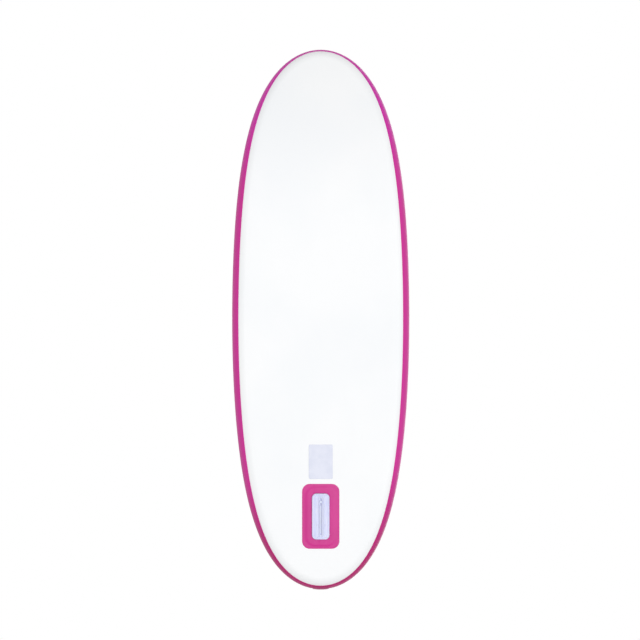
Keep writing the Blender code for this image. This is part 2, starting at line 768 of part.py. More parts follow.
def handle_grip():
    """A padded sleeve round the straight top of the strap."""
    hole_size = grown((STRAP_WIDTH, STRAP), (STRAP_CLEARANCE, GAP))
    outer_size = grown(hole_size, GRIP_PAD)
    outer = rounded_rectangle(*outer_size, outer_size[1] / 2 - GAP, steps=4)
    hole = rounded_rectangle(*hole_size, GRIP_HOLE_CORNER, steps=1)
    reach = STRAP_TOP_HALF - GRIP_END_GAP
    mesh = sheet("handle_grip", [outer, hole], -reach, reach)
    mesh.transform(Matrix.Translation((0.0, 0.0, STRAP_RISE)) @ STAND_UP)
    made = held(part("handle_grip", mesh, RUBBER), handle_frame)
    smooth(made)


handle_grip()


# Tie-down points: a laid patch, a webbing loop and a D-ring that swings in it

BAR_HEIGHT = PATCH_TOP + GAP + RING_WIRE
RING_HALF_BAR = LOOP_WIDTH / 2 + RING_CORNER
RING_SHOULDER = RING_REACH - RING_HALF_BAR
RING_INSIDE = RING_HALF_BAR - RING_WIRE
LOOP_FOOT = RING_SHOULDER + math.sqrt(RING_INSIDE**2 - (LOOP_WIDTH / 2) ** 2) - 2 * LOOP_PLAY


def loop_outline():
    """Side outline of the webbing loop: a foot each side and a tunnel for the ring's bar."""
    inner = RING_WIRE + LOOP_PLAY
    outer = inner + LOOP
    foot = PATCH_TOP + GAP
    start = math.asin((BAR_HEIGHT - foot - LOOP / 2) / outer) / 2
    over = [math.pi - start - (math.pi - 2 * start) * k / 8 for k in range(9)]
    within = [math.pi * k / 8 for k in range(9)]
    top = [(-LOOP_FOOT, foot + LOOP), (-inner - 2.2 * LOOP, foot + LOOP)]
    top += [(outer * math.cos(a), BAR_HEIGHT + outer * math.sin(a)) for a in over]
    top += [(inner + 2.2 * LOOP, foot + LOOP), (LOOP_FOOT, foot + LOOP)]
    under = [(LOOP_FOOT, foot), (inner + LOOP * 0.6, foot), (inner, foot + LOOP * 0.7)]
    under += [(inner * math.cos(a), BAR_HEIGHT + inner * math.sin(a)) for a in within]
    under += [(-inner, foot + LOOP * 0.7), (-inner - LOOP * 0.6, foot), (-LOOP_FOOT, foot)]
    return top + under


def ring_path():
    """Closed middle line of the D-ring in its own plane, its straight bar along Y through the origin."""
    bend, half = RING_CORNER, RING_HALF_BAR
    points = []
    for k in range(4):
        angle = math.pi + math.pi / 2 * k / 3
        points.append((bend + bend * math.cos(angle), -half + bend + bend * math.sin(angle)))
    for k in range(11):
        angle = -math.pi / 2 + math.pi * k / 10
        points.append((RING_SHOULDER + half * math.cos(angle), half * math.sin(angle)))
    for k in range(4):
        angle = math.pi / 2 + math.pi / 2 * k / 3
        points.append((bend + bend * math.cos(angle), half - bend + bend * math.sin(angle)))
    return points


def tube(name, points, radius, resolution, cyclic=False):
    curve = bpy.data.curves.new(name, "CURVE")
    curve.dimensions = "3D"
    curve.bevel_depth = radius
    curve.bevel_resolution = resolution
    curve.use_fill_caps = not cyclic
    spline = curve.splines.new("POLY")
    spline.points.add(len(points) - 1)
    for point, co in zip(spline.points, points):
        point.co = (*co, 1.0)
    spline.use_cyclic_u = cyclic
    return applied(draft(name, curve))


def tie_down(name, x, y, turn):
    outline = circle(RING_PATCH_RADIUS, (x, y))
    part(f"{name}_patch", laid(sheet("patch", [outline], GAP, PATCH_TOP), 1), MAGENTA_PVC)
    frame = surface_frame(f"{name}_frame", x, y, 1, turn)
    loop = sheet("loop", [loop_outline()], -LOOP_WIDTH / 2, LOOP_WIDTH / 2)
    loop.transform(STAND_UP)
    held(part(f"{name}_loop", loop, WEBBING), frame)
    ring = tube("ring", [(px, py, 0.0) for px, py in ring_path()], RING_WIRE, 1, cyclic=True)
    made = held(part(f"{name}_ring", ring, STEEL, 1.0), frame)
    made.location = (0.0, 0.0, BAR_HEIGHT)
    smooth(made, 60.0)


for place, from_nose in (("front", FRONT_TIES_FROM_NOSE), ("mid", MID_TIES_FROM_NOSE)):
    tie_y = from_nose - HALF_LENGTH
    tie_x = panel_half_width(tie_y) - TIES_FROM_EDGE
    tie_down(f"{place}_port", tie_x, tie_y, 180.0)
    tie_down(f"{place}_starboard", -tie_x, tie_y, 0.0)
tie_down("leash", 0.0, HALF_LENGTH - LEASH_FROM_TAIL, 90.0)


# Air valve: body through the deck, nut inside, sprung stem with its diaphragm, cap, gasket and tether

valve_rings = [circle(radius, (0.0, VALVE_Y)) for radius in (BARREL_HOLE + VALVE_PATCH_MARGIN, BARREL_HOLE)]
part("valve_patch", laid(sheet("valve_patch", valve_rings, GAP, PATCH_TOP), 1), MAGENTA_PVC)

FLANGE_RADIUS = BARREL_RADIUS + FLANGE_LIP
SEAT_RADIUS = BORE_RADIUS - SEAT_LEDGE
DIAPHRAGM_RADIUS = SEAT_RADIUS + DIAPHRAGM_LAP
TETHER_LOW = PATCH_TOP + GAP
FLANGE_LOW = TETHER_LOW + TETHER + GAP
FLANGE_TOP = FLANGE_LOW + FLANGE
HUB_BORE = STEM_RADIUS + STEM_CLEARANCE
HUB_TOP = SEAT_TOP + HUB_HEIGHT
NUT_TOP = -SKIN - GAP - SKIN - GAP
DIAPHRAGM_TOP = SEAT_BOTTOM - GAP
DIAPHRAGM_LOW = DIAPHRAGM_TOP - DIAPHRAGM
BARREL_LOW = DIAPHRAGM_LOW - STEM_TRAVEL


def valve_body():
    profile = [
        (BORE_RADIUS, FLANGE_TOP - MOUTH_EDGE), (BORE_RADIUS + MOUTH_EDGE, FLANGE_TOP),
        (FLANGE_RADIUS - FLANGE_RIM, FLANGE_TOP), (FLANGE_RADIUS, FLANGE_TOP - FLANGE_RIM),
        (FLANGE_RADIUS, FLANGE_LOW), (BARREL_RADIUS, FLANGE_LOW),
        (BARREL_RADIUS, BARREL_LOW), (BORE_RADIUS, BARREL_LOW), (BORE_RADIUS, SEAT_BOTTOM),
        (SEAT_RADIUS, SEAT_BOTTOM), (SEAT_RADIUS, SEAT_TOP), (BORE_RADIUS, SEAT_TOP)]
    body = held(part("valve_body", turned("valve_body", profile), VALVE_PLASTIC), valve_frame)
    hub = [(HUB_BORE, HUB_TOP), (HUB_RADIUS, HUB_TOP), (HUB_RADIUS, SEAT_TOP), (HUB_BORE, SEAT_TOP)]
    spider = draft("spider", turned("spider", hub))
    inner, outer = HUB_RADIUS - SPIDER_OVERLAP, BORE_RADIUS + SPIDER_OVERLAP
    arm_size = (outer - inner, SPIDER_ARM, HUB_HEIGHT - SPIDER_OVERLAP)
    for k in range(3):
        arm = block("arm", arm_size, ((inner + outer) / 2, 0.0, SEAT_TOP + HUB_HEIGHT / 2))
        arm.transform(Matrix.Rotation(2 * math.pi * k / 3, 4, "Z"))
        boolean(spider, cutter(f"spider_arm_{k}", arm), "UNION")
    spider_mesh = applied(spider)
    boolean(body, held(cutter("spider", spider_mesh), valve_frame), "UNION")
    smooth(body)


valve_body()

nut_profile = [
    (BARREL_RADIUS + GAP, NUT_TOP), (NUT_RADIUS, NUT_TOP), (NUT_RADIUS, NUT_TOP - NUT_RIM),
    (NUT_RADIUS - NUT_STEP[0], NUT_TOP - NUT_RIM - NUT_STEP[1]),
    (NUT_RADIUS - NUT_STEP[0], NUT_TOP - NUT_DEPTH), (BARREL_RADIUS + GAP, NUT_TOP - NUT_DEPTH)]
smooth(held(part("valve_nut", turned("valve_nut", nut_profile), VALVE_PLASTIC), valve_frame))

BUTTON_LOW = BUTTON_TOP - BUTTON
stem_profile = [
    (0.0, BUTTON_TOP), (BUTTON_RADIUS - BUTTON_EDGE, BUTTON_TOP), (BUTTON_RADIUS, BUTTON_TOP - BUTTON_EDGE),
    (BUTTON_RADIUS, BUTTON_LOW), (STEM_RADIUS, BUTTON_LOW), (STEM_RADIUS, DIAPHRAGM_LOW - GAP),
    (HUB_RADIUS, DIAPHRAGM_LOW - GAP), (HUB_RADIUS, DIAPHRAGM_LOW - GAP - STEM_FOOT),
    (0.0, DIAPHRAGM_LOW - GAP - STEM_FOOT)]
stem = held(part("valve_stem", turned("valve_stem", stem_profile), VALVE_PLASTIC), valve_frame)
slot_mark = block("stem_slot", STEM_SLOT, (0.0, 0.0, BUTTON_TOP))
boolean(stem, held(cutter("stem_slot", slot_mark), valve_frame))
smooth(stem)

diaphragm_profile = [
    (STEM_RADIUS + GAP, DIAPHRAGM_TOP), (DIAPHRAGM_RADIUS, DIAPHRAGM_TOP),
    (DIAPHRAGM_RADIUS, DIAPHRAGM_TOP - DIAPHRAGM_EDGE[1]),
    (DIAPHRAGM_RADIUS - DIAPHRAGM_EDGE[0], DIAPHRAGM_LOW),
    (STEM_RADIUS + GAP, DIAPHRAGM_LOW)]
smooth(held(part("valve_diaphragm", turned("valve_diaphragm", diaphragm_profile), RUBBER), valve_frame))


def spring_points(foot, top, turns, per_turn=10):
    """A coil whose end turns lie flat, standing on its foot."""
    points = []
    count = turns * per_turn
    for k in range(count + 1):
        share = k / count
        climb = min(max((share * turns - 0.5) / (turns - 1.0), 0.0), 1.0)
        end_lift = SPRING_END_RISE * (min(share * turns, 0.5) + max(share * turns - turns + 0.5, 0.0))
        z = foot + (top - foot - SPRING_END_RISE) * climb + end_lift
        angle = 2 * math.pi * share * turns
        points.append((SPRING_RADIUS * math.cos(angle), SPRING_RADIUS * math.sin(angle), z))
    return points


spring_foot = HUB_TOP + GAP + SPRING_WIRE
spring_top = BUTTON_LOW - GAP - SPRING_WIRE
spring = tube("valve_spring", spring_points(spring_foot, spring_top, SPRING_TURNS), SPRING_WIRE, 1)
smooth(held(part("valve_spring", spring, STEEL, 1.0), valve_frame), 60.0)

CAP_RADIUS = BARREL_RADIUS + CAP_LIP
GASKET_LOW = FLANGE_TOP + GAP
GASKET_TOP = GASKET_LOW + GASKET
GASKET_INNER = BORE_RADIUS + GASKET_INSET
GASKET_OUTER = CAP_RADIUS - CAP_SKIRT - GASKET_CLEARANCE
gasket_profile = [
    (GASKET_INNER, GASKET_TOP), (GASKET_OUTER, GASKET_TOP), (GASKET_OUTER, GASKET_LOW),
    (GASKET_INNER, GASKET_LOW)]
smooth(held(part("valve_gasket", turned("valve_gasket", gasket_profile), RUBBER), valve_frame))

CAP_LOW = GASKET_LOW
CAP_TOP = CAP_LOW + CAP_HEIGHT
CAP_CEILING = CAP_TOP - CAP_WALL
PLUG_OUTER = BORE_RADIUS - PLUG_CLEARANCE
PLUG_INNER = PLUG_OUTER - PLUG_WALL
PLUG_LOW = FLANGE_TOP - PLUG_DEPTH
GROOVE_HIGH = CAP_LOW + GROOVE_FROM_CAP_FOOT
GROOVE_LOW = GROOVE_HIGH - GROOVE_HEIGHT


def valve_cap():
    profile = [
        (0.0, CAP_TOP), (CAP_RADIUS - CAP_EDGE, CAP_TOP), (CAP_RADIUS, CAP_TOP - CAP_EDGE),
        (CAP_RADIUS, GROOVE_HIGH), (CAP_RADIUS - GROOVE, GROOVE_HIGH), (CAP_RADIUS - GROOVE, GROOVE_LOW),
        (CAP_RADIUS, GROOVE_LOW), (CAP_RADIUS, CAP_LOW), (CAP_RADIUS - CAP_SKIRT, CAP_LOW),
        (CAP_RADIUS - CAP_SKIRT, GASKET_TOP + GAP), (PLUG_OUTER, GASKET_TOP + GAP), (PLUG_OUTER, PLUG_LOW),
        (PLUG_INNER, PLUG_LOW), (PLUG_INNER, CAP_CEILING), (0.0, CAP_CEILING)]
    cap = held(part("valve_cap", turned("valve_cap", profile), VALVE_PLASTIC), valve_frame)
    edge = CAP_GRIP_EDGE
    wide = (CAP_GRIP[0], 2 * (CAP_RADIUS - CAP_GRIP_INSET))
    foot_outline = rounded_rectangle(*wide, CAP_GRIP_CORNER, steps=3)
    top_outline = rounded_rectangle(*grown(wide, (-edge, -edge)), CAP_GRIP_CORNER - edge, steps=3)
    grip_foot = CAP_TOP - CAP_WALL / 2
    grip_top = CAP_TOP + CAP_GRIP[1]
    grip = loft([(foot_outline, grip_foot), (foot_outline, grip_top - edge), (top_outline, grip_top)])
    boolean(cap, held(cutter("cap_grip", grip), valve_frame), "UNION")
    smooth(cap)


valve_cap()


def valve_tether():
    """A moulded strap: a ring round the barrel, a loop out to the side, and a ring in the cap's groove."""
    half = TETHER / 2
    low_mid = TETHER_LOW + half
    groove_mid = (GROOVE_HIGH + GROOVE_LOW) / 2
    low_ring = [circle(BARREL_RADIUS + GAP + TETHER_LOW_RING), circle(BARREL_RADIUS + GAP)]
    ring = draft("tether_low", sheet("tether_low", low_ring, low_mid - half, low_mid + half))
    high_ring = [circle(CAP_RADIUS + TETHER_PROUD), circle(CAP_RADIUS - GROOVE + GAP)]
    high = cutter("tether_high", sheet("tether_high", high_ring, groove_mid - half, groove_mid + half))
    boolean(ring, high, "UNION")
    reach = FLANGE_RADIUS + TETHER_REACH
    start = BARREL_RADIUS + GAP + TETHER_LOW_RING - TETHER_OVERLAP
    line = [(start, low_mid), (FLANGE_RADIUS + TETHER_REACH / 4, low_mid)]
    bend = (groove_mid - low_mid) / 2
    for k in range(7):
        angle = -math.pi / 2 + math.pi * k / 6
        line.append((reach + bend * math.cos(angle), low_mid + bend + bend * math.sin(angle)))
    line.append((CAP_RADIUS + TETHER_PROUD / 2, groove_mid))
    strap_mesh = sheet("tether_strap", [ribbon_outline(line, TETHER)], -TETHER_WIDTH / 2, TETHER_WIDTH / 2)
    strap_mesh.transform(Matrix.Rotation(-math.pi / 2, 4, "Z") @ STAND_UP)
    boolean(ring, cutter("tether_strap", strap_mesh), "UNION")
    held(part("valve_tether", applied(ring), VALVE_PLASTIC), valve_frame)


valve_tether()
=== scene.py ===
# %% [markdown]
# # An inflatable stand-up paddle board
# This lesson dresses a board whose measured model is already packed as a frame of plain solids. The frame
# fixes every size and every moving body. Here each visible piece is made again as a fine mesh with its
# own finish: coated cloth, grooved foam, webbing, moulded plastic and polished steel.

# %% Load the frame
import json
import math
from contextlib import contextmanager
from functools import partialmethod

import bmesh
import bpy
import numpy as np
from mathutils import Matrix, Vector


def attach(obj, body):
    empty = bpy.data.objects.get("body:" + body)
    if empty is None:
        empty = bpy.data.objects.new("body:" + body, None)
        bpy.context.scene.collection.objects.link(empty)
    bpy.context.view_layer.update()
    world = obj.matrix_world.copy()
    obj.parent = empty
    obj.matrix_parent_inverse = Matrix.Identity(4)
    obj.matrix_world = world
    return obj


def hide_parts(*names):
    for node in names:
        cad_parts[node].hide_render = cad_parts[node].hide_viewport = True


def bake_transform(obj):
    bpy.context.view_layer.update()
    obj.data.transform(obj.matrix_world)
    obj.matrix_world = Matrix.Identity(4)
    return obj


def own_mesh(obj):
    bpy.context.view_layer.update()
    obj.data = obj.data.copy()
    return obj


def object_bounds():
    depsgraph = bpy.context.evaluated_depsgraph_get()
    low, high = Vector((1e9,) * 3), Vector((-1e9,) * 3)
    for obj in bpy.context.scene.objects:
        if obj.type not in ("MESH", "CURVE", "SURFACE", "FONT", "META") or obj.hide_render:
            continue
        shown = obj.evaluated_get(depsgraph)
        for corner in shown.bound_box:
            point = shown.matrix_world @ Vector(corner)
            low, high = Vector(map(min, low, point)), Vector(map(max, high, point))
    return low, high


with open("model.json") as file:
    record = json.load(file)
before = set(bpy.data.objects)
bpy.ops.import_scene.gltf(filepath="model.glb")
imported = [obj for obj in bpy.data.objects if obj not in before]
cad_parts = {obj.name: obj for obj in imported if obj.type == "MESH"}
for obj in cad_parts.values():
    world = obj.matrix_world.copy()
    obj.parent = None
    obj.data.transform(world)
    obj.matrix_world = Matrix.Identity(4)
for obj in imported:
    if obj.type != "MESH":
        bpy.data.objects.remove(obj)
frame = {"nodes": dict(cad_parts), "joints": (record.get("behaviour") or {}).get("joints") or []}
cad_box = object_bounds()
print("board, metres:", [round(side, 3) for side in cad_box[1] - cad_box[0]])

# %% [markdown]
# ## Writing node trees as formulas
# A rule such as the hull's shape is a few lines of algebra, but a few dozen Math nodes. One small class
# lets Python's own operators add those nodes, so the same lines can be read as algebra, run on numpy
# arrays, and grown into a Geometry Nodes tree. That way the pieces made in mesh code and the pieces made
# by nodes can't drift apart.

# %% Graphs and wires
class Graph:
    """A node tree that short calls fill in. It serves materials, shader groups and geometry alike."""

    def __init__(self, tree):
        self.tree = tree

    def node(self, kind, inputs=(), **settings):
        made = self.tree.nodes.new(kind)
        for name, value in settings.items():
            setattr(made, name, value)
        for name, value in dict(inputs).items():
            if isinstance(value, Wire):
                self.tree.links.new(value.socket, made.inputs[name])
            else:
                made.inputs[name].default_value = value
        return made

    def use(self, kind, inputs=(), output=0, **settings):
        return Wire(self, self.node(kind, inputs, **settings).outputs[output])

    def math(self, operation, *values):
        return self.use("ShaderNodeMath", dict(enumerate(values)), operation=operation)

    def is_positive(self, x):
        return self.math("GREATER_THAN", x, 0.0)

    def parts(self, vector):
        """The three parts of a vector."""
        return [Wire(self, part) for part in self.node("ShaderNodeSeparateXYZ", {0: vector}).outputs]

    def ramp(self, value, low, high):
        """0 up to low, 1 from high on, and a smooth rise between them."""
        return self.use("ShaderNodeMapRange", {"Value": value, "From Min": low, "From Max": high},
                        interpolation_type="SMOOTHSTEP")


class Wire:
    """One output of a node. Arithmetic on wires adds Math nodes."""

    def __init__(self, graph, socket):
        self.graph = graph
        self.socket = socket

    def __neg__(self):
        return self * -1.0


print("graph calls:", [name for name in vars(Graph) if not name.startswith("_")])


# %% Operators for wires and for arrays
def add_operator(name, operation):
    """Lets a wire stand on either side of one of Python's operators."""
    setattr(Wire, f"__{name}__", lambda wire, other: wire.graph.math(operation, wire, other))
    setattr(Wire, f"__r{name}__", lambda wire, other: wire.graph.math(operation, other, wire))


for name, operation in (("add", "ADD"), ("sub", "SUBTRACT"), ("mul", "MULTIPLY"), ("truediv", "DIVIDE")):
    add_operator(name, operation)
for name, operation in (("sin", "SINE"), ("cos", "COSINE"), ("sqrt", "SQRT"), ("power", "POWER"),
                        ("absolute", "ABSOLUTE"), ("at_least", "MAXIMUM"), ("at_most", "MINIMUM")):
    setattr(Graph, name, partialmethod(Graph.math, operation))


class Arrays:
    """The same operations for numpy arrays and plain numbers."""

    sin, cos, sqrt, power = np.sin, np.cos, np.sqrt, np.power
    absolute, at_least, at_most = np.abs, np.maximum, np.minimum

    @staticmethod
    def is_positive(x):
        return np.where(np.asarray(x) > 0, 1.0, 0.0)


def empty_graph(made):
    """Clears the nodes that a new material or world comes with, and returns its graph."""
    made.use_nodes = True
    made.node_tree.nodes.clear()
    return Graph(made.node_tree)


print("operators ready:", [name for name in vars(Arrays) if not name.startswith("_")])

# %% [markdown]
# ## The hull's shape as a rule
# A board like this has no table of measured points. Its plan is an ellipse made a little fuller, its side
# view is flat with a rise at each tip, and its edge is a half circle as high as the board is thick. The
# skins, the band round the edge and every patch glued on them ask this one rule where the surface is.

# %% Sizes of the hull and its layers
GAP = 0.0003
SKIN = 0.0010
BAND = 0.0012
PATCH = 0.0010
HULL_THICKNESS = 0.117
BAND_EDGE = math.radians(58.0)
LAP_EDGE = math.radians(38.7)

board_low, board_high = cad_box
SKIN_RADIUS = HULL_THICKNESS / 2
BAND_RADIUS = SKIN_RADIUS + GAP + BAND
PATCH_TOP = GAP + PATCH
HULL = {
    "half width": (board_high.x - board_low.x) / 2,
    "half length": 1.220,
    "rail radius": BAND_RADIUS,
    "skin radius": SKIN_RADIUS,
    "nose first": 0.261, "nose second": 0.022, "nose rise": 0.176, "nose run": 0.90, "nose power": 2.2,
    "tail first": 0.212, "tail second": 0.062, "tail rise": 0.056, "tail run": 1.07, "tail power": 2.0,
}
HALF_LENGTH = HULL["half length"]
print("half width", round(HULL["half width"], 4), "half length", HALF_LENGTH)


# %% The rule itself
def of_end(name, tail, hull):
    """A size that has one value on the nose half and another on the tail half."""
    return hull["nose " + name] + tail * (hull["tail " + name] - hull["nose " + name])


def rocker(y, tail, calc, hull):
    """How far the hull's middle has risen at y, with the sine and cosine of its slope."""
    rise, run, power = (of_end(name, tail, hull) for name in ("rise", "run", "power"))
    along = calc.at_least((calc.absolute(y) - hull["half length"] + run) / run, 0.0)
    slope = (tail * 2 - 1) * rise * power * calc.power(along, power - 1) / run
    cosine = 1 / calc.sqrt(slope * slope + 1)
    return rise * calc.power(along, power), slope * cosine, cosine


def hull_point(t, share, angle, side, radius, calc, hull):
    """A point on a layer. t is 0 at port and a quarter turn at the tail, share goes across the flat panel
    and angle goes round the rail, from 0 at its middle to a quarter turn at the panel."""
    u = calc.sin(t)
    tail = calc.is_positive(u)
    first, second = of_end("first", tail, hull), of_end("second", tail, hull)
    fullness = 1 + u * u * (first + second * u * u)
    growth = u * (2 * first + 4 * second * u * u) * calc.cos(t)
    dx = hull["half width"] * (calc.cos(t) * growth - u * fullness)
    dy = hull["half length"] * calc.cos(t)
    length = calc.sqrt(dx * dx + dy * dy)
    nx, ny = dy / length, -dx / length
    cx = hull["half width"] * calc.cos(t) * fullness - nx * hull["rail radius"]
    cy = hull["half length"] * u - ny * hull["rail radius"]
    height, sine, cosine = rocker(cy, tail, calc, hull)
    out, up = radius * calc.cos(angle), side * radius * calc.sin(angle)
    return (cx * share + nx * out,
            cy + ny * cosine * out - sine * up,
            hull["skin radius"] + height + ny * sine * out + cosine * up)


def laid(points, side):
    """Where points drawn flat in plan, with z as their height off the skin, come to lie on the hull."""
    x, y, height = np.asarray(points, float).T
    rise, sine, cosine = rocker(y, Arrays.is_positive(y), Arrays, HULL)
    reach = side * (SKIN_RADIUS + height)
    return np.stack([x, y - sine * reach, SKIN_RADIUS + rise + cosine * reach], axis=1)


def panel_half_width(y):
    """Half width of the flat panel at y, read off the rail circle's centres."""
    t = np.linspace(-math.pi / 2, math.pi / 2, 721)
    cx, cy, _ = hull_point(t, 1.0, math.pi / 2, 1, 0.0, Arrays, HULL)
    return np.interp(y, cy, cx)


tip = hull_point(-math.pi / 2, 1.0, 0.0, 1, BAND_RADIUS, Arrays, HULL)
middle_half = float(panel_half_width(0))
print("nose tip at", [round(float(c), 4) for c in tip], "panel at the middle", round(middle_half, 4))

# %% [markdown]
# ## Camera and studio
# The photograph looks straight up at the board's bottom from far away, with the nose at the top. A long
# lens keeps both tips, which rise from the flat middle, at nearly the same scale. The board floats on pure
# white, so the world shows white to the camera and to glossy rays, but lights the board at a plain level,
# brighter from straight above and below than from the horizon, as broad studio panels would, and dimmest
# past the two tips, because the photograph's rail darkens towards the tail.

# %% Camera
CAMERA_REACH = 40.0
METRES_PER_PIXEL = 0.004512
PHOTO_PIXELS = 640
OBJECT_CENTRE = (320.74, 319.3)
SENSOR = 36.0


def placed(name, data):
    """A new object in the scene."""
    made = bpy.data.objects.new(name, data)
    bpy.context.scene.collection.objects.link(made)
    return made


camera_data = bpy.data.cameras.new("photo_camera")
camera_data.sensor_width = SENSOR
camera_data.lens = SENSOR * CAMERA_REACH / (METRES_PER_PIXEL * PHOTO_PIXELS)
camera_data.clip_start = 1.0
camera_data.clip_end = 2 * CAMERA_REACH
camera = placed("photo_camera", camera_data)
middle_y = (board_low.y + board_high.y) / 2
right_by, down_by = ((pixel - PHOTO_PIXELS / 2) * METRES_PER_PIXEL for pixel in OBJECT_CENTRE)
camera.location = (-right_by, middle_y - down_by, SKIN_RADIUS - CAMERA_REACH)
camera.rotation_euler = (math.pi, 0.0, 0.0)
bpy.context.scene.camera = camera
bpy.context.scene.view_settings.view_transform = "Standard"
print("lens", round(camera_data.lens, 1), "mm, camera at", [round(c, 4) for c in camera.location])

# %% World and lamps
WHITE = (1.0, 1.0, 1.0, 1.0)
LIGHT_AT_POLES = 0.99
LIGHT_AT_HORIZON = 0.50
LESS_AT_ENDS = 0.34
LAMP_LEAN = 0.26


def shown_white(graph):
    """1 for rays that should see the plain white surroundings, 0 for rays that gather light."""
    rays = graph.node("ShaderNodeLightPath")
    straight, glossy, through = (
        Wire(graph, rays.outputs[f"Is {kind} Ray"]) for kind in ("Camera", "Glossy", "Transmission"))
    return graph.at_least(graph.at_least(straight, glossy), through)


world = bpy.data.worlds.new("studio")
sky = empty_graph(world)
_, lengthwise, upwards = sky.parts(sky.use("ShaderNodeTexCoord"))
strength = sky.absolute(upwards) * (LIGHT_AT_POLES - LIGHT_AT_HORIZON) + LIGHT_AT_HORIZON
strength = strength - lengthwise * lengthwise * LESS_AT_ENDS
gathered = sky.use("ShaderNodeBackground", {"Color": WHITE, "Strength": sky.at_least(strength, 0.0)})
shown = sky.use("ShaderNodeBackground", {"Color": WHITE, "Strength": 1.0})
mixed = sky.use("ShaderNodeMixShader", {0: shown_white(sky), 1: gathered, 2: shown})
sky.node("ShaderNodeOutputWorld", {"Surface": mixed})
bpy.context.scene.world = world


def soft_lamp(name, strength, upwards):
    """A broad sun whose shadows are soft. It leans a little to port."""
    lamp = bpy.data.lights.new(name, "SUN")
    lamp.energy = strength
    lamp.angle = math.radians(50.0)
    made = placed(name, lamp)
    shines = Vector((-LAMP_LEAN, 0.0, 1.0 if upwards else -1.0))
    made.rotation_euler = shines.to_track_quat("-Z", "Y").to_euler()
    made.visible_camera = False


soft_lamp("lamp_below", 0.80, upwards=True)
soft_lamp("lamp_above", 0.62, upwards=False)

# %% Floor
FLOOR_RADIUS = 9.0
FLOOR_FADE = (1.3, 4.5)


def floor_material():
    """Pale and shadowed from above near the board, white further out, and nothing at all from below."""
    made = bpy.data.materials.new("pale_floor")
    graph = empty_graph(made)
    place = graph.use("ShaderNodeTexCoord", output="Object")
    radius = graph.use("ShaderNodeVectorMath", {0: place}, output="Value", operation="LENGTH")
    pale = graph.use("ShaderNodeBsdfDiffuse", {"Color": (0.93, 0.93, 0.93, 1.0)})
    white = graph.use("ShaderNodeEmission", {"Color": WHITE, "Strength": 1.0})
    top = graph.use("ShaderNodeMixShader", {0: graph.ramp(radius, *FLOOR_FADE), 1: pale, 2: white})
    seen = graph.use("ShaderNodeLightPath", output="Is Camera Ray")
    front = 1 - graph.use("ShaderNodeNewGeometry", output="Backfacing")
    clear = graph.use("ShaderNodeBsdfTransparent")
    surface = graph.use("ShaderNodeMixShader", {0: seen * front, 1: clear, 2: top})
    graph.node("ShaderNodeOutputMaterial", {"Surface": surface})
    return made


@contextmanager
def edited(mesh):
    """Opens a mesh for bmesh work and writes it back at the end."""
    bm = bmesh.new()
    bm.from_mesh(mesh)
    yield bm
    bm.to_mesh(mesh)
    bm.free()


floor_mesh = bpy.data.meshes.new("floor")
with edited(floor_mesh) as bm:
    bmesh.ops.create_circle(bm, cap_ends=True, segments=96, radius=FLOOR_RADIUS)
    bmesh.ops.translate(bm, verts=bm.verts, vec=(0.0, 0.0, board_low.z - GAP))
floor_mesh.materials.append(floor_material())
placed("floor", floor_mesh)
print("floor", FLOOR_RADIUS, "m, one-sided, normal", tuple(floor_mesh.polygons[0].normal))

# %% [markdown]
# ## Effects that several finishes share
# Almost every surface of the board is coated cloth, foam, webbing or moulded plastic, and all of them have
# some relief too fine to model and some unevenness from handling. Each such effect is a shader group,
# built once. A material places it with its own scale and amount. A group only puts out heights and masks,
# so each material still owns its Principled shader.

# %% Building groups and finishes
VECTOR, FLOAT, COUNT = "NodeSocketVector", "NodeSocketFloat", "NodeSocketInt"


def screen_colour(red, green, blue):
    """A colour as a screen shows it, 0 to 255, in the linear values that shaders take."""
    linear = [((c / 255 + 0.055) / 1.055) ** 2.4 if c > 10 else c / 3294.6 for c in (red, green, blue)]
    return (*linear, 1.0)


def node_group(name, kind, inputs, outputs, fill):
    """A node group with named inputs and outputs. fill gets its graph and the wires from its inputs, and
    returns a value for each output."""
    tree = bpy.data.node_groups.new(name, kind)
    for label, socket_kind in outputs:
        tree.interface.new_socket(label, in_out="OUTPUT", socket_type=socket_kind)
    for label, socket_kind, value in inputs:
        socket = tree.interface.new_socket(label, in_out="INPUT", socket_type=socket_kind)
        if value is not None:
            socket.default_value = value
    graph = Graph(tree)
    entry = graph.node("NodeGroupInput")
    wires = {socket.name: Wire(graph, socket) for socket in entry.outputs if socket.name}
    graph.node("NodeGroupOutput", fill(graph, wires))
    return tree


def shader_group(name, inputs, outputs, fill):
    """A shader group that takes coordinates and some more inputs, and puts out heights or masks."""
    return node_group(name, "ShaderNodeTree", [("Vector", VECTOR, None)] + inputs,
                      [(label, FLOAT) for label in outputs], fill)


def noise(graph, place, scale, detail, roughness=0.5):
    return graph.use("ShaderNodeTexNoise", {
        "Vector": place, "Scale": scale, "Detail": detail, "Roughness": roughness}, output="Fac")


def fill_weave(graph, wires):
    """Threads over and under each other: a product of two sines."""
    turn = 2 * math.pi
    place = graph.use("ShaderNodeVectorMath", {0: wires["Vector"], 1: wires["Threads"]},
                      operation="MULTIPLY")
    across, along, _ = graph.parts(place)
    return {"Height": graph.sin(across * turn) * graph.sin(along * turn) * 0.5 + 0.5}


def fill_handling(graph, wires):
    """Broad unevenness for tone, and fine rubbed streaks for gloss."""
    broad = noise(graph, wires["Vector"], wires["Broad Scale"], 3.0)
    drawn_out = graph.use("ShaderNodeMapping", {"Vector": wires["Vector"], "Scale": (1.0, 0.12, 1.0)})
    streaks = noise(graph, drawn_out, wires["Streak Scale"], 4.0, 0.6)
    return {"Tone": graph.ramp(broad, 0.35, 0.65), "Rub": graph.ramp(streaks, 0.52, 0.70)}


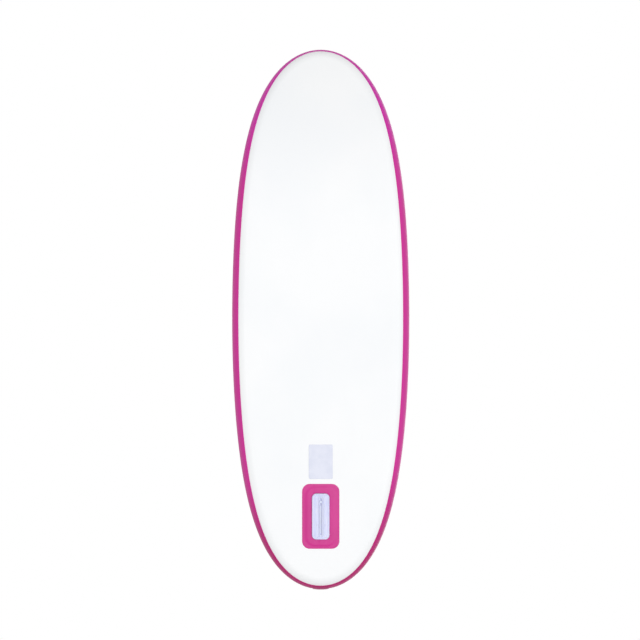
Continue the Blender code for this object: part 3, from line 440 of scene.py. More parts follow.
def fill_grain(graph, wires):
    """Fine pitted grain, as spark-eroded moulds leave on plastic or cells leave on cut foam."""
    cells = graph.use("ShaderNodeTexVoronoi", {"Vector": wires["Vector"], "Scale": wires["Scale"]})
    fine = noise(graph, wires["Vector"], wires["Scale"] * 1.7, 3.0)
    return {"Height": cells * wires["Cells"] + fine * (1 - wires["Cells"])}


WEAVE = shader_group("weave", [("Threads", VECTOR, (900.0, 900.0, 0.0))], ["Height"], fill_weave)
HANDLING = shader_group("handling", [("Broad Scale", FLOAT, 3.0), ("Streak Scale", FLOAT, 60.0)],
                        ["Tone", "Rub"], fill_handling)
GRAIN = shader_group("grain", [("Scale", FLOAT, 900.0), ("Cells", FLOAT, 0.5)], ["Height"], fill_grain)
print("groups:", [group.name for group in bpy.data.node_groups])


# %% One way to make a finish
def finish(name, main, deep, roughness, rub, relief, depth, broad, streaks=60.0, uv=None, ends=(),
           **shader):
    """A Principled material whose tone, gloss and relief vary. main and deep are screen colours, relief
    returns the height to bump by, and ends holds (colour, y where it begins, y where it is full) for a
    colour that shifts along the board."""
    made = bpy.data.materials.new(name)
    graph = empty_graph(made)
    in_object = graph.use("ShaderNodeTexCoord", output="Object")
    place = graph.use("ShaderNodeUVMap", uv_map=uv) if uv else in_object
    handled = graph.node("ShaderNodeGroup", {"Vector": place, "Broad Scale": broad, "Streak Scale": streaks},
                         node_tree=HANDLING)
    tone, rubbed = (Wire(graph, handled.outputs[label]) for label in ("Tone", "Rub"))
    base = graph.use("ShaderNodeMix", {0: tone, 6: screen_colour(*deep), 7: screen_colour(*main)}, output=2,
                     data_type="RGBA")
    for colour, begins, full in ends:
        share = graph.ramp(graph.parts(in_object)[1], begins, full)
        base = graph.use("ShaderNodeMix", {0: share, 6: base, 7: screen_colour(*colour)}, output=2,
                         data_type="RGBA")
    bump = graph.use("ShaderNodeBump", {"Height": relief(graph, place), "Distance": depth, "Strength": 1.0})
    settings = {key.replace("_", " ").title().replace("Ior", "IOR"): value for key, value in shader.items()}
    gloss = rubbed * rub + roughness
    principled = graph.use("ShaderNodeBsdfPrincipled", {
        "Base Color": base, "Roughness": gloss, "Normal": bump, **settings}, output="BSDF")
    graph.node("ShaderNodeOutputMaterial", {"Surface": principled})
    return made


def woven(across, along):
    """Relief of a weave with this many threads to the metre each way."""
    return lambda graph, place: graph.use(
        "ShaderNodeGroup", {"Vector": place, "Threads": (across, along, 0.0)}, node_tree=WEAVE)


def grained(scale, cells):
    """Relief of a moulded or foamed surface, from smooth noise at 0 cells to cut foam at 1."""
    return lambda graph, place: graph.use(
        "ShaderNodeGroup", {"Vector": place, "Scale": scale, "Cells": cells}, node_tree=GRAIN)


# %% [markdown]
# ## Coated cloth
# The hull is polyester scrim under a soft vinyl coating. The coating fills the weave, so from a step away
# it is smooth with a low satin gloss, and close up the threads still print through. The bottom is white and
# the rail and the patches are a strong magenta. The rail's magenta is a little bluer at the nose and deeper
# and redder at the tail, as the photograph shows it, so its colour shifts along the board. The tail's
# deeper, redder colour is painted shade.

# %% Coated cloth finishes
WHITE_CLOTH = finish("white_cloth", (250, 251, 252), (246, 248, 250), 0.36, 0.10,
                     woven(700.0, 700.0), 0.000010, broad=1.6)
# Painted shade: the rail is drawn deeper and redder towards the tail tip.
TAIL_PAINTED_SHADE, NOSE_SHADE = (186, 26, 112), (208, 44, 168)
RAIL_CLOTH = finish("rail_cloth", (214, 52, 156), (208, 48, 151), 0.42, 0.10,
                    woven(700.0, 700.0), 0.000012, broad=2.2, uv="cloth",
                    ends=((NOSE_SHADE, -0.55, -1.0), (TAIL_PAINTED_SHADE, 0.62, 1.14)), specular_ior_level=0.3)
PATCH_CLOTH = finish("patch_cloth", (210, 33, 141), (204, 30, 136), 0.38, 0.10,
                     woven(700.0, 700.0), 0.000012, broad=9.0)
print("cloths:", WHITE_CLOTH.name, RAIL_CLOTH.name, PATCH_CLOTH.name)

# %% [markdown]
# ## Hull layers from one tree
# Deck skin, bottom skin and rail band are the same surface at three places: a strip of stations round the
# outline, each station crossing the flat panel and turning down the rail. A Grid node gives the strip, and
# Set Position puts the hull's rule on it. Python runs the same rule for everything laid on the hull later.

# %% Geometry trees and the meshes they give
def geometry_tree(name, inputs, grow):
    """A Geometry Nodes tree with named inputs that ends in Realize Instances and Set Material."""
    def fill(graph, wires):
        real = graph.use("GeometryNodeRealizeInstances", {0: grow(graph, wires)})
        return {0: graph.use("GeometryNodeSetMaterial", {"Geometry": real, "Material": wires["Material"]})}
    return node_group(name, "GeometryNodeTree", inputs + [("Material", "NodeSocketMaterial", None)],
                      [("Geometry", "NodeSocketGeometry")], fill)


def evaluated_mesh(made):
    """A copy of an object's mesh with its modifiers applied."""
    return bpy.data.meshes.new_from_object(made.evaluated_get(bpy.context.evaluated_depsgraph_get()))


def grown_mesh(tree, values, source=None):
    """Runs a tree on an object that is then removed, and returns the plain mesh."""
    carrier = placed(tree.name, source or bpy.data.meshes.new(tree.name))
    modifier = carrier.modifiers.new(tree.name, "NODES")
    modifier.node_group = tree
    for item in tree.interface.items_tree:
        if item.in_out == "INPUT" and item.name in values:
            modifier[item.identifier] = values[item.name]
    carrier.update_tag()
    mesh = evaluated_mesh(carrier)
    bpy.data.objects.remove(carrier)
    return mesh


def piece(name, mesh, body, slot, *materials):
    """Puts a finished mesh in the scene as a piece that rides on a body and stands for the CAD node of
    the same name."""
    mesh.name = name
    for index, material in enumerate(materials):
        if index < len(mesh.materials):
            mesh.materials[index] = material
        else:
            mesh.materials.append(material)
    made = placed("visual_" + name, mesh)
    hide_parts(name)
    if body:
        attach(made, body)
    print(name, "has", len(mesh.polygons), "faces and rides on", body or "two bodies")
    return made


# %% The hull tree
def hull_layer(graph, wires):
    grid = graph.use("GeometryNodeMeshGrid", {
        "Size X": 1.0, "Size Y": 1.0, "Vertices X": wires["Stations"], "Vertices Y": wires["Columns"]})
    station, column, _ = graph.parts(graph.use("GeometryNodeInputPosition"))
    t = (station + 0.5) * wires["Sweep"] + wires["Start"]
    column = column + 0.5
    across = graph.at_most((column + 1e-6) / (wires["Panel Part"] + 1e-6), 1.0)
    round_rail = graph.at_least(column - wires["Panel Part"], 0.0) / (1 - wires["Panel Part"])
    ends = graph.sin(t) * graph.sin(t)
    narrower = wires["Tip Narrowing"] * ends * ends
    first, last = wires["From Angle"] - narrower, wires["To Angle"] + narrower
    angle = first + (last - first) * round_rail
    x, y, z = hull_point(t, across, angle, wires["Side"], wires["Layer Radius"], graph, wires)
    where = graph.use("ShaderNodeCombineXYZ", {0: x, 1: y, 2: z})
    bent = graph.use("GeometryNodeSetPosition", {"Geometry": grid, "Position": where})
    for label, value in (("t", t), ("angle", angle)):
        bent = graph.use("GeometryNodeStoreNamedAttribute", {
            "Geometry": bent, "Name": label, "Value": value})
    closed_up = graph.use("GeometryNodeMergeByDistance", {"Geometry": bent, "Distance": 1e-5})
    return graph.use("GeometryNodeSetShadeSmooth", {"Geometry": closed_up})


HULL_TREE = geometry_tree("hull_layer", [(label, FLOAT, size) for label, size in HULL.items()] + [
    ("Layer Radius", FLOAT, SKIN_RADIUS), ("Side", FLOAT, 1.0), ("Start", FLOAT, 0.0),
    ("Sweep", FLOAT, 2 * math.pi), ("Panel Part", FLOAT, 0.0), ("From Angle", FLOAT, math.pi / 2),
    ("To Angle", FLOAT, LAP_EDGE), ("Tip Narrowing", FLOAT, 0.0),
    ("Stations", COUNT, 721), ("Columns", COUNT, 25)], hull_layer)


def face_outwards(mesh):
    """Turns an open hull surface so that its faces look away from the hull's middle."""
    with edited(mesh) as bm:
        bmesh.ops.recalc_face_normals(bm, faces=bm.faces)
        score = 0.0
        for face in bm.faces:
            x, y, z = face.calc_center_median()
            rise = float(rocker(np.float64(y), Arrays.is_positive(y), Arrays, HULL)[0])
            score += face.normal.dot(Vector((0.2 * x, 0.0, z - SKIN_RADIUS - rise))) * face.calc_area()
        if score < 0:
            bmesh.ops.reverse_faces(bm, faces=bm.faces)


def thicken(made, wall):
    """Gives an open surface its wall, inwards from its outer face."""
    shell = made.modifiers.new("wall", "SOLIDIFY")
    shell.thickness = wall
    shell.offset = -1.0
    shell.use_even_offset = True


def soften(made, width, segments=2):
    """Rounds the sharp edges by a bevel that smooth shading then hides."""
    bevel = made.modifiers.new("edges", "BEVEL")
    bevel.width = width
    bevel.segments = segments
    bevel.limit_method = "ANGLE"
    bevel.angle_limit = math.radians(50.0)
    bevel.use_clamp_overlap = False


print("hull tree inputs:", len(HULL_TREE.interface.items_tree) - 1)


# %% Skins
skins = {}
for name, side in (("bottom_skin", -1.0), ("deck_skin", 1.0)):
    skin = grown_mesh(HULL_TREE, {"Side": side, "Panel Part": 0.4, "Material": WHITE_CLOTH})
    face_outwards(skin)
    skins[name] = piece(name, skin, "board", "white_pvc")
    thicken(skins[name], SKIN)


# %% Rail band
def length_along(line):
    """The length of a line up to each of its points."""
    return np.concatenate([[0.0], np.cumsum(np.linalg.norm(np.diff(line, axis=0), axis=1))])


def give_uv(mesh, name, by_vertex, plain_corners=0):
    """A UV map with one value for each vertex. The last corners can be left at the origin."""
    corners = np.zeros(len(mesh.loops), int)
    mesh.loops.foreach_get("vertex_index", corners)
    uv = by_vertex[corners]
    uv[len(uv) - plain_corners:] = 0.0
    mesh.uv_layers.new(name=name).data.foreach_set("uv", uv.astype(np.float32).ravel())


def along_rail(mesh):
    """A UV map in metres that follows the rail: round the outline, and up its side."""
    t = np.linspace(-math.pi, 2.6 * math.pi, 8001)
    edge = np.stack(hull_point(t, 1.0, 0.0, 1, BAND_RADIUS, Arrays, HULL), axis=1)
    stored = {}
    for label in ("t", "angle"):
        stored[label] = np.zeros(len(mesh.vertices), np.float32)
        mesh.attributes[label].data.foreach_get("value", stored[label])
        mesh.attributes.remove(mesh.attributes[label])
    reach = np.interp(stored["t"], t, length_along(edge))
    give_uv(mesh, "cloth", np.stack([reach, stored["angle"] * BAND_RADIUS], axis=1))


TIP_NARROWING = math.radians(9.5)
# Metres along the outline for each radian of t at the tail tip.
TAIL_SPREAD = HULL["half width"] * (1 + HULL["tail first"] + HULL["tail second"])
JOINT_TURN = GAP / TAIL_SPREAD
band = grown_mesh(HULL_TREE, {
    "Layer Radius": BAND_RADIUS, "Start": math.pi / 2 + JOINT_TURN / 2, "Sweep": 2 * math.pi - JOINT_TURN,
    "From Angle": BAND_EDGE, "To Angle": -BAND_EDGE, "Tip Narrowing": TIP_NARROWING, "Columns": 21,
    "Material": RAIL_CLOTH})
face_outwards(band)
along_rail(band)
rail_band = piece("rail_band", band, "board", "magenta_pvc")
thicken(rail_band, BAND)
soften(rail_band, 0.0004)
print("rail band", len(band.polygons), "faces, edge at", round(math.degrees(BAND_EDGE)), "degrees")

# %% [markdown]
# ## Drawing flat and laying on
# Patches, the fin base and the deck pads are cut or moulded flat and then take the hull's curve. They are
# modelled in that order too. Each is drawn in plan with its height off the skin as z, sliced across every
# centimetre so that it can bend, and then every point is put on the hull by the rule.

# %% Outlines
def rounded_rectangle(size, corner, centre=(0.0, 0.0), grow=0.0, steps=9, straight=(6, 16), least=0.0002):
    """An outline whose corners are arcs and whose straight sides are cut into equal parts. grow is a
    margin all round, or one across and one along. No corner gets smaller than least."""
    wider, longer = np.broadcast_to(grow, 2)
    corner = max(corner + wider, least)
    half_x, half_y = size[0] / 2 + wider - corner, size[1] / 2 + longer - corner
    points = []
    for quarter, (sx, sy) in enumerate(((1, 1), (-1, 1), (-1, -1), (1, -1))):
        for angle in np.linspace(quarter * math.pi / 2, (quarter + 1) * math.pi / 2, steps + 1):
            points.append((sx * half_x + corner * math.cos(angle), sy * half_y + corner * math.sin(angle)))
        last = points[-1]
        side_x = quarter % 2 == 0
        reach = (-2 * sx * half_x, 0.0) if side_x else (0.0, -2 * sy * half_y)
        parts = straight[0] if side_x else straight[1]
        points += [(last[0] + reach[0] * k / parts, last[1] + reach[1] * k / parts) for k in range(1, parts)]
    return np.array(points) + np.array(centre)


def circle(radius, centre=(0.0, 0.0), steps=96):
    turn = np.linspace(0, 2 * math.pi, steps, endpoint=False)
    return np.column_stack([np.cos(turn), np.sin(turn)]) * radius + np.array(centre)


def quarter_round(inset, drop, steps):
    """Insets and drops along a rounded shoulder, from the wall up to the top."""
    turn = np.linspace(0, math.pi / 2, steps + 1)
    return list(zip(inset * (1 - np.cos(turn)), drop * (1 - np.sin(turn))))


print("a rounded rectangle has", len(rounded_rectangle((1.0, 1.0), 0.1)), "points")


# %% Lofts and solids
def mesh_of(name, bm):
    bmesh.ops.recalc_face_normals(bm, faces=bm.faces)
    mesh = bpy.data.meshes.new(name)
    bm.to_mesh(mesh)
    bm.free()
    return mesh


def bridged(name, rows, closed=False, capped=True):
    """A mesh with a strip of faces from each ring of points to the next. A row of one point closes to a
    tip. closed joins the last ring to the first, as round a tube. Otherwise capped closes both ends."""
    bm = bmesh.new()
    count = max(len(row) for row in rows)
    rings = [[bm.verts.new(point) for point in row] * (count // len(row)) for row in rows]
    for below, above in zip(rings, rings[1:] + rings[:1] if closed else rings[1:]):
        for k in range(count):
            n = (k + 1) % count
            corners = list(dict.fromkeys((below[k], below[n], above[n], above[k])))
            if len(corners) > 2:
                bm.faces.new(corners)
    if capped and not closed:
        bm.faces.new(rings[0])
        bm.faces.new(rings[-1])
    return mesh_of(name, bm)


def loft(levels, closed=False, capped=True):
    """Bridges outlines of equal counts, each a pair of outline and height, or of outline and heights."""
    rows = [[(x, y, z) for (x, y), z in zip(outline, np.broadcast_to(height, len(outline)))]
            for outline, height in levels]
    return bridged("loft", rows, closed, capped)


def combined(operation, first, *others):
    """One solid with others cut from it or joined to it."""
    solids = [placed(mesh.name, mesh) for mesh in (first, *others)]
    for other in solids[1:]:
        step = solids[0].modifiers.new(operation.lower(), "BOOLEAN")
        step.object = other
        step.operation = operation
    bpy.context.view_layer.update()
    mesh = evaluated_mesh(solids[0])
    for solid in solids:
        bpy.data.objects.remove(solid)
    return mesh


def joined(name, *groups):
    """Several meshes as one. Each group of meshes takes the material slot at its own place."""
    made = bpy.data.meshes.new(name)
    with edited(made) as bm:
        for index, meshes in enumerate(groups):
            before = len(bm.faces)
            for mesh in meshes:
                bm.from_mesh(mesh)
            bm.faces.ensure_lookup_table()
            for face in bm.faces[before:]:
                face.material_index = index
    return made


print("solids come from", loft.__name__, "and", combined.__name__)

# %% Laying and shading
LAY_SPACING = 0.010


def lay(mesh, side, spacing=LAY_SPACING):
    """Lays a flat-drawn mesh on the deck (side 1) or the bottom (side -1). It is first cut across at even
    distances, so that it can bend lengthwise, unless the spacing is 0."""
    if spacing:
        with edited(mesh) as bm:
            low, high = min(v.co.y for v in bm.verts), max(v.co.y for v in bm.verts)
            for k in range(math.ceil(low / spacing), math.ceil(high / spacing)):
                every = bm.verts[:] + bm.edges[:] + bm.faces[:]
                bmesh.ops.bisect_plane(bm, geom=every, dist=2e-6, plane_co=(0, k * spacing, 0),
                                       plane_no=(0, 1, 0))
    flat = np.zeros(len(mesh.vertices) * 3)
    mesh.vertices.foreach_get("co", flat)
    mesh.vertices.foreach_set("co", laid(flat.reshape(-1, 3), side).ravel())
    if side < 0:
        mesh.flip_normals()
    mesh.update()
    return mesh


def moved(mesh, matrix):
    mesh.transform(matrix)
    mesh.update()
    return mesh


def shade(mesh, angle=35.0):
    """Smooth shading with edges sharper than the angle kept."""
    mesh.shade_smooth()
    mesh.set_sharp_from_angle(angle=math.radians(angle))
    return mesh


print("laying spacing", LAY_SPACING)

# %% [markdown]
# ## Fin patch
# The magenta patch is one sheet with an opening for the base. It lies flat on the skin at its rim, climbs
# over the base's flange and ends at the base's wall. A loft of rounded rectangles follows that section
# exactly: the upper side outward to inward, then back along the underside, closed like a tube.

# %% Sizes round the fin
FIN_Y = HALF_LENGTH - 0.335
FIN_SLOT = (0.0100, 0.1640, 0.0030)
FIN_TRACK = (0.0190, 0.1760, 0.0032)
FIN_OPENING = (0.0190, 0.1760, 0.0035)
FIN_BODY = (0.0790, 0.2060, 0.0195)
FIN_FLANGE = (0.1100, 0.2500, 0.0300)
FIN_PATCH = (0.1680, 0.2910, 0.0340)
FIN_FLANGE_WALL = 0.0020
FIN_TRACK_DEPTH = 0.0105
FIN_FLOOR = GAP + 0.0032
FIN_TOP = FIN_FLOOR + GAP + FIN_TRACK_DEPTH
FIN_SLOT_FLOOR = FIN_TOP - 0.0085
MOUTH_CENTRE = (0.0, FIN_Y - FIN_SLOT[1] / 2 + 0.0165)
EDGE_ROUND = 0.0004


def levels_of(shape, *steps, y=FIN_Y):
    """Outlines of a shape for a loft. The shape is its size and corner. Each step is a height, then how
    far the shape grows, or how far across and how far along."""
    *size, corner = shape
    return [(rounded_rectangle(size, corner, (0.0, y), grow or 0.0), height) for height, *grow in steps]


print("fin base from", round(FIN_Y - FIN_BODY[1] / 2, 3), "to", round(FIN_Y + FIN_BODY[1] / 2, 3))


# %% Fin patch
def fin_patch():
    high = GAP + FIN_FLANGE_WALL + GAP
    climb = [(0.0220 - 0.0215 * k / 10, GAP + (high - GAP) * (1 - math.cos(math.pi * k / 10)) / 2)
             for k in range(11)]
    rim = quarter_round(EDGE_ROUND * 1.5, EDGE_ROUND * 1.5, 3)
    levels = levels_of(FIN_PATCH, *((PATCH_TOP - drop, -inset) for inset, drop in rim), (PATCH_TOP, -0.004))
    levels += levels_of(FIN_FLANGE, *((height + PATCH, margin, 0.6 * margin) for margin, height in climb))
    levels += levels_of(
        FIN_BODY, (high + PATCH, 0.0035), (high + PATCH, 0.0011), (high + PATCH - EDGE_ROUND / 2, 0.0007),
        (high + PATCH - EDGE_ROUND, 0.0005), (high, 0.0005))
    levels += levels_of(FIN_FLANGE, *((height, margin, 0.6 * margin) for margin, height in reversed(climb)))
    levels += levels_of(FIN_PATCH, (GAP,))
    return shade(lay(loft(levels, closed=True), -1))


piece("fin_patch", fin_patch(), "board", "magenta_pvc", PATCH_CLOTH)

# %% [markdown]
# ## Fin base and track
# The base is one soft translucent moulding: a thin flange under the patch, a wall with a rounded shoulder,
# a raised rim, a shallow valley inside it and a plateau round the track. Its section is again a list of
# insets and heights. The track in its middle is a channel whose slot widens below its lips, so that a
# fin's foot can slide along and not pull out, with a round mouth near the nose end where the foot goes in.

# %% Translucent moulding
FIN_PLASTIC = finish("fin_plastic", (220, 224, 254), (214, 219, 253), 0.22, 0.12,
                     grained(1400.0, 0.3), 0.00002, broad=14.0,
                     subsurface_weight=0.20, subsurface_radius=(0.008, 0.009, 0.014), subsurface_scale=1.0)
NYLON = finish("white_nylon", (236, 241, 255), (229, 235, 254), 0.30, 0.10,
               grained(1400.0, 0.3), 0.00001, broad=20.0)
print("mouldings:", FIN_PLASTIC.name, NYLON.name)


# %% Fin base
def fin_base():
    foot, edge = GAP + FIN_FLANGE_WALL, 0.0008
    shoulder = quarter_round(0.0034, 0.0040, 6)
    levels = levels_of(FIN_FLANGE, (GAP,), (foot - EDGE_ROUND,), (foot, -EDGE_ROUND))
    levels += levels_of(FIN_BODY, (foot, EDGE_ROUND), (foot + EDGE_ROUND,),
                        *((FIN_TOP - drop, -inset) for inset, drop in shoulder))
    rim, valley, plateau, dip = 0.0046, (0.0075, 0.0105), 0.0165, 0.0016
    for inset, fall in (
            (rim, 0.0), (rim + 0.0010, 0.25), (valley[0] - 0.0008, 0.92), (valley[0], 1.0),
            (valley[1], 1.0), (valley[1] + 0.0012, 0.92), (plateau - 0.0016, 0.10), (plateau, 0.0)):
        lengthwise = inset if inset <= valley[0] else valley[0] + (inset - valley[0]) * 0.35
        levels += levels_of(FIN_BODY, (FIN_TOP - dip * fall, -inset, -lengthwise))
    levels += levels_of(FIN_OPENING, (FIN_TOP, edge + GAP), (FIN_TOP - edge * 0.3, edge * 0.3 + GAP),
                        (FIN_TOP - edge, GAP), (FIN_FLOOR, GAP))
    return shade(lay(loft(levels), -1))


def boss(x, y):
    """A small domed boss, as a moulding has over an ejector pin or a plug."""
    radius, low, height = 0.0034, FIN_TOP - 0.0006, 0.0013
    section = ((0.0, 0.0), (0.0, 0.6), (0.08, 0.88), (0.22, 1.0), (0.45, 1.0), (0.55, 0.7))
    dome = [(circle(radius * (1 - inset), (x, y), 20), low + height * rise) for inset, rise in section]
    return shade(lay(loft(dome), -1, 0))


bosses = [boss(x, FIN_Y + 0.038) for x in (-0.0175, 0.0175)]
piece("fin_base", joined("fin_base", [fin_base(), *bosses]), "board", "fin_pvc", FIN_PLASTIC)


# %% Fin track
def fin_track():
    """The channel. Its slot is wider below the lips, and a round mouth is cut at the slot's nose end."""
    lip, floor, edge, undercut, mouth_radius = FIN_TOP, FIN_SLOT_FLOOR, 0.0007, 0.0020, 0.0066
    levels = levels_of(FIN_TRACK, (lip - FIN_TRACK_DEPTH,), (lip - edge,), (lip - edge * 0.3, -edge * 0.3),
                       (lip, -edge))
    levels += levels_of(
        FIN_SLOT, (lip, edge), (lip - edge * 0.3, edge * 0.3), (lip - edge,), (floor + 0.0046,),
        (floor + 0.0046, undercut, 0.0), (floor + 0.0014, undercut, 0.0), (floor + 0.0014,), (floor,))
    mouth = loft([(circle(mouth_radius + wider, MOUTH_CENTRE, 40), height) for wider, height in (
        (0.0, floor + 0.0010), (0.0, lip - edge), (edge, lip), (edge, lip + 0.002))])
    return shade(lay(combined("DIFFERENCE", loft(levels), mouth), -1), 30.0)


def mouth_disc():
    """A white nylon disc that stands on the mouth's floor."""
    disc = loft([(circle(radius, MOUTH_CENTRE, 40), FIN_SLOT_FLOOR + 0.0008 + rise) for radius, rise in (
        (0.0060, 0.0), (0.0060, 0.0040), (0.0056, 0.0046), (0.0048, 0.0049), (0.0020, 0.0050))])
    return shade(lay(disc, -1, 0))


def slot_rib():
    """A rib that stands along the slot's floor and ends below the lips."""
    steps = ((-0.0002, 0.0), (0.0052, 0.0), (0.0058, -0.0003), (0.0060, -0.0010))
    rib = levels_of((0.0050, 0.1240, 0.0020), *((FIN_SLOT_FLOOR + rise, grow) for rise, grow in steps),
                    y=FIN_Y + 0.012)
    return shade(lay(loft(rib), -1))


track = joined("fin_track", [fin_track()], [slot_rib(), mouth_disc()])
piece("fin_track", track, "board", "fin_pvc", FIN_PLASTIC, NYLON)

# %% [markdown]
# ## Seam patch and bare film
# The rail band is one strip, so its ends meet at the tail under a short patch, which the same hull tree
# makes: a few degrees of the outline at a slightly larger radius. The thin film ahead of the fin is bare.
# Thin film never lies quite flat, so it gets a slow ripple of a few hundredths of a millimetre.

# %% Seam patch
SEAM_WALL = 0.0016
SEAM_HALF_TURN = 0.036 / TAIL_SPREAD
# Painted shade: the seam patch is drawn a deeper, redder magenta than the rail, like the rail's colour at
# the tail.
SEAM_PAINTED_SHADE_CLOTH = finish("seam_cloth_painted_shade", (180, 26, 108), (172, 24, 102), 0.40, 0.10,
                    woven(700.0, 700.0), 0.000012, broad=9.0, uv="cloth", specular_ior_level=0.3)
seam = grown_mesh(HULL_TREE, {
    "Layer Radius": BAND_RADIUS + GAP + SEAM_WALL, "Start": math.pi / 2 - SEAM_HALF_TURN,
    "Sweep": 2 * SEAM_HALF_TURN, "From Angle": BAND_EDGE, "To Angle": -BAND_EDGE,
    "Tip Narrowing": TIP_NARROWING, "Stations": 25, "Columns": 31, "Material": SEAM_PAINTED_SHADE_CLOTH})
face_outwards(seam)
along_rail(seam)
seam_patch = piece("tail_seam_patch", seam, "board", "magenta_pvc")
thicken(seam_patch, SEAM_WALL)
soften(seam_patch, 0.0005, 3)

# %% Bare film
FILM_SIZE = (0.108, 0.154)
FILM_CENTRE = (0.0, HALF_LENGTH - 0.580)
FILM = 0.0004
FILM_RIPPLE = 0.00004
FILM_COAT = finish("bare_film", (222, 225, 240), (214, 218, 235), 0.16, 0.10, grained(500.0, 0.0), 0.00002,
                   broad=18.0, coat_weight=0.4, coat_roughness=0.08)


def film():
    def outline(inset):
        return rounded_rectangle(FILM_SIZE, 0.006, FILM_CENTRE, -inset, straight=(28, 40), least=0.0008)
    top = GAP + FILM
    levels = [(outline(0.0), GAP)]
    levels += [(outline(inset), top - drop) for inset, drop in quarter_round(0.0002, 0.0002, 2)]
    for inset in np.linspace(0.004, FILM_SIZE[0] / 2 - 0.002, 12):
        x, y = outline(inset).T
        ripple = FILM_RIPPLE * (np.sin(x * 95 + 0.4) * np.cos(y * 61) + np.sin(y * 140 + x * 60))
        levels.append((outline(inset), top + ripple))
    return shade(lay(loft(levels), -1))


piece("plain_film", film(), "board", "pale_film", FILM_COAT)

# %% [markdown]
# ## Deck pads
# The pads are moulded foam with a plain border and a grooved field. The main pad's grooves cross in
# diamonds for grip, and the tail pad's run straight across for the back foot. A texture could draw them,
# but grooves catch light and shadow, so they are cut: the pad is sliced along both edges and the middle
# of every groove, and the middle is lowered. Cutting planes make that two short loops. The underside is
# filled last, so it needs no cuts, and it still meets every point of the walls. A narrow strip inside
# the field's rim lets each groove run out over a couple of millimetres.

# %% Pad outlines
PAD = 0.0050
PAD_INSET = 0.035
PAD_FRONT = 0.790 - HALF_LENGTH
PAD_REAR = HALF_LENGTH - 0.335
TAIL_PAD_FRONT = PAD_REAR - 0.300
PAD_BREAK = 0.010
PAD_BORDER = 0.011
WINDOW = (0.118, 0.370)
WINDOW_CORNER = 0.040


def pad_outline(front, rear, front_corner, rear_corner, inset):
    """The outline of a pad between two cross lines, drawn in by an inset. Its counts never change."""
    turns = 1 - np.cos(np.linspace(0, math.pi / 2, 17))
    corners = (max(front_corner - inset, 0.002), max(rear_corner - inset, 0.002))
    low, high = front + inset, rear - inset
    y = np.concatenate([low + corners[0] * turns, np.linspace(low + corners[0], high - corners[1], 42)[1:-1],
                        high - corners[1] * turns[::-1]])
    half = panel_half_width(y) - PAD_INSET - inset
    for corner, depth in ((corners[0], y - low), (corners[1], high - y)):
        within = np.clip(1 - depth / corner, 0.0, 1.0)
        half = half - corner * (1 - np.sqrt(1 - within * within))
    return np.concatenate([np.column_stack([half, y]), np.column_stack([-half, y])[::-1]])


def filled(bm, height):
    """Closes the open rims at a height, round any hole between them, and returns the new faces."""
    rims = [edge for edge in bm.edges
            if edge.is_boundary and all(abs(v.co.z - height) < 1e-6 for v in edge.verts)]
    made = bmesh.ops.triangle_fill(bm, use_beauty=True, edges=rims)["geom"]
    return [face for face in made if isinstance(face, bmesh.types.BMFace)]


print("pads from", round(PAD_FRONT, 3), "to", round(PAD_REAR, 3))

# %% Grooves
GROOVE_WIDTH = 0.0026
GROOVE_DEPTH = 0.0016
GROOVE_TAPER = 0.0025
DIAMOND_PITCH = 0.024
CROSS_PITCH = 0.0075
FIELD = 1


def grooved(bm, normal, pitch):
    """Slices a pad along parallel grooves and lowers what lies in them, except at the rim of its field."""
    along = [v.co.dot(normal) for v in bm.verts]
    for centre in np.arange(math.ceil(min(along) / pitch), math.floor(max(along) / pitch) + 1) * pitch:
        for offset in (-GROOVE_WIDTH / 2, 0.0, GROOVE_WIDTH / 2):
            every = bm.verts[:] + bm.edges[:] + bm.faces[:]
            bmesh.ops.bisect_plane(bm, geom=every, dist=2e-6, plane_no=normal,
                                   plane_co=normal * (centre + offset))
    for v in bm.verts:
        at = v.co.dot(normal)
        share = abs(at - round(at / pitch) * pitch) / (GROOVE_WIDTH / 2)
        if share < 1 and all(face.material_index == FIELD for face in v.link_faces):
            v.co.z = min(v.co.z, GAP + PAD - GROOVE_DEPTH * (1 - share))


def deck_pad(name, edges, window, cuts):
    """A pad: rounded rim, plain border, grooved field and flat underside, laid on the deck."""
    top = GAP + PAD
    section = [(0.0, GAP), (0.0, top - 0.0012)]
    section += [(inset, top - drop) for inset, drop in quarter_round(0.0012, 0.0012, 3)][1:]
    section += [(PAD_BORDER - 0.0016, top), (PAD_BORDER - 0.0010, top - 0.0008), (PAD_BORDER, top)]
    rims = [[(pad_outline(*edges, inset), z) for inset, z in section]]
    if window:
        rims.append([(rounded_rectangle(window, WINDOW_CORNER, grow=inset), z) for inset, z in section])
    bm = bmesh.new()
    for rim in rims:
        bm.from_mesh(loft(rim, capped=False))
    field = filled(bm, top)
    field += bmesh.ops.inset_region(bm, faces=field, thickness=GROOVE_TAPER, use_boundary=True,
                                    use_even_offset=True)["faces"]
    for face in field:
        face.material_index = FIELD
    for normal, pitch in cuts:
        grooved(bm, normal, pitch)
    filled(bm, GAP)
    for face in bm.faces:
        face.material_index = 0
    return shade(lay(mesh_of(name, bm), 1), 28.0)


DIAMONDS = [(Vector((0.8, side * 0.6, 0.0)), DIAMOND_PITCH) for side in (1, -1)]
CROSS_GROOVES = [(Vector((0.0, 1.0, 0.0)), CROSS_PITCH)]
FOAM = finish("pad_foam", (204, 112, 166), (192, 100, 154), 0.80, 0.10,
              grained(1500.0, 0.7), 0.00012, broad=2.6)
for name, edges, window, cuts in (
        ("deck_pad_main", (PAD_FRONT, TAIL_PAD_FRONT - PAD_BREAK, 0.170, 0.012), WINDOW, DIAMONDS),
        ("deck_pad_tail", (TAIL_PAD_FRONT, PAD_REAR, 0.012, 0.060), None, CROSS_GROOVES)):
    pad = piece(name, deck_pad(name, edges, window, cuts), "board", "pad_foam", FOAM)

# %% [markdown]
# ## Webbing and stitches
# Straps are bent ribbons: one side view of their middle line, swept with a fine woven section. The
# stitching that holds them is a run of identical short threads along drawn lines, which is what Geometry
# Nodes is good at: the lines are resampled at the stitch length and one small thread stands on each point.

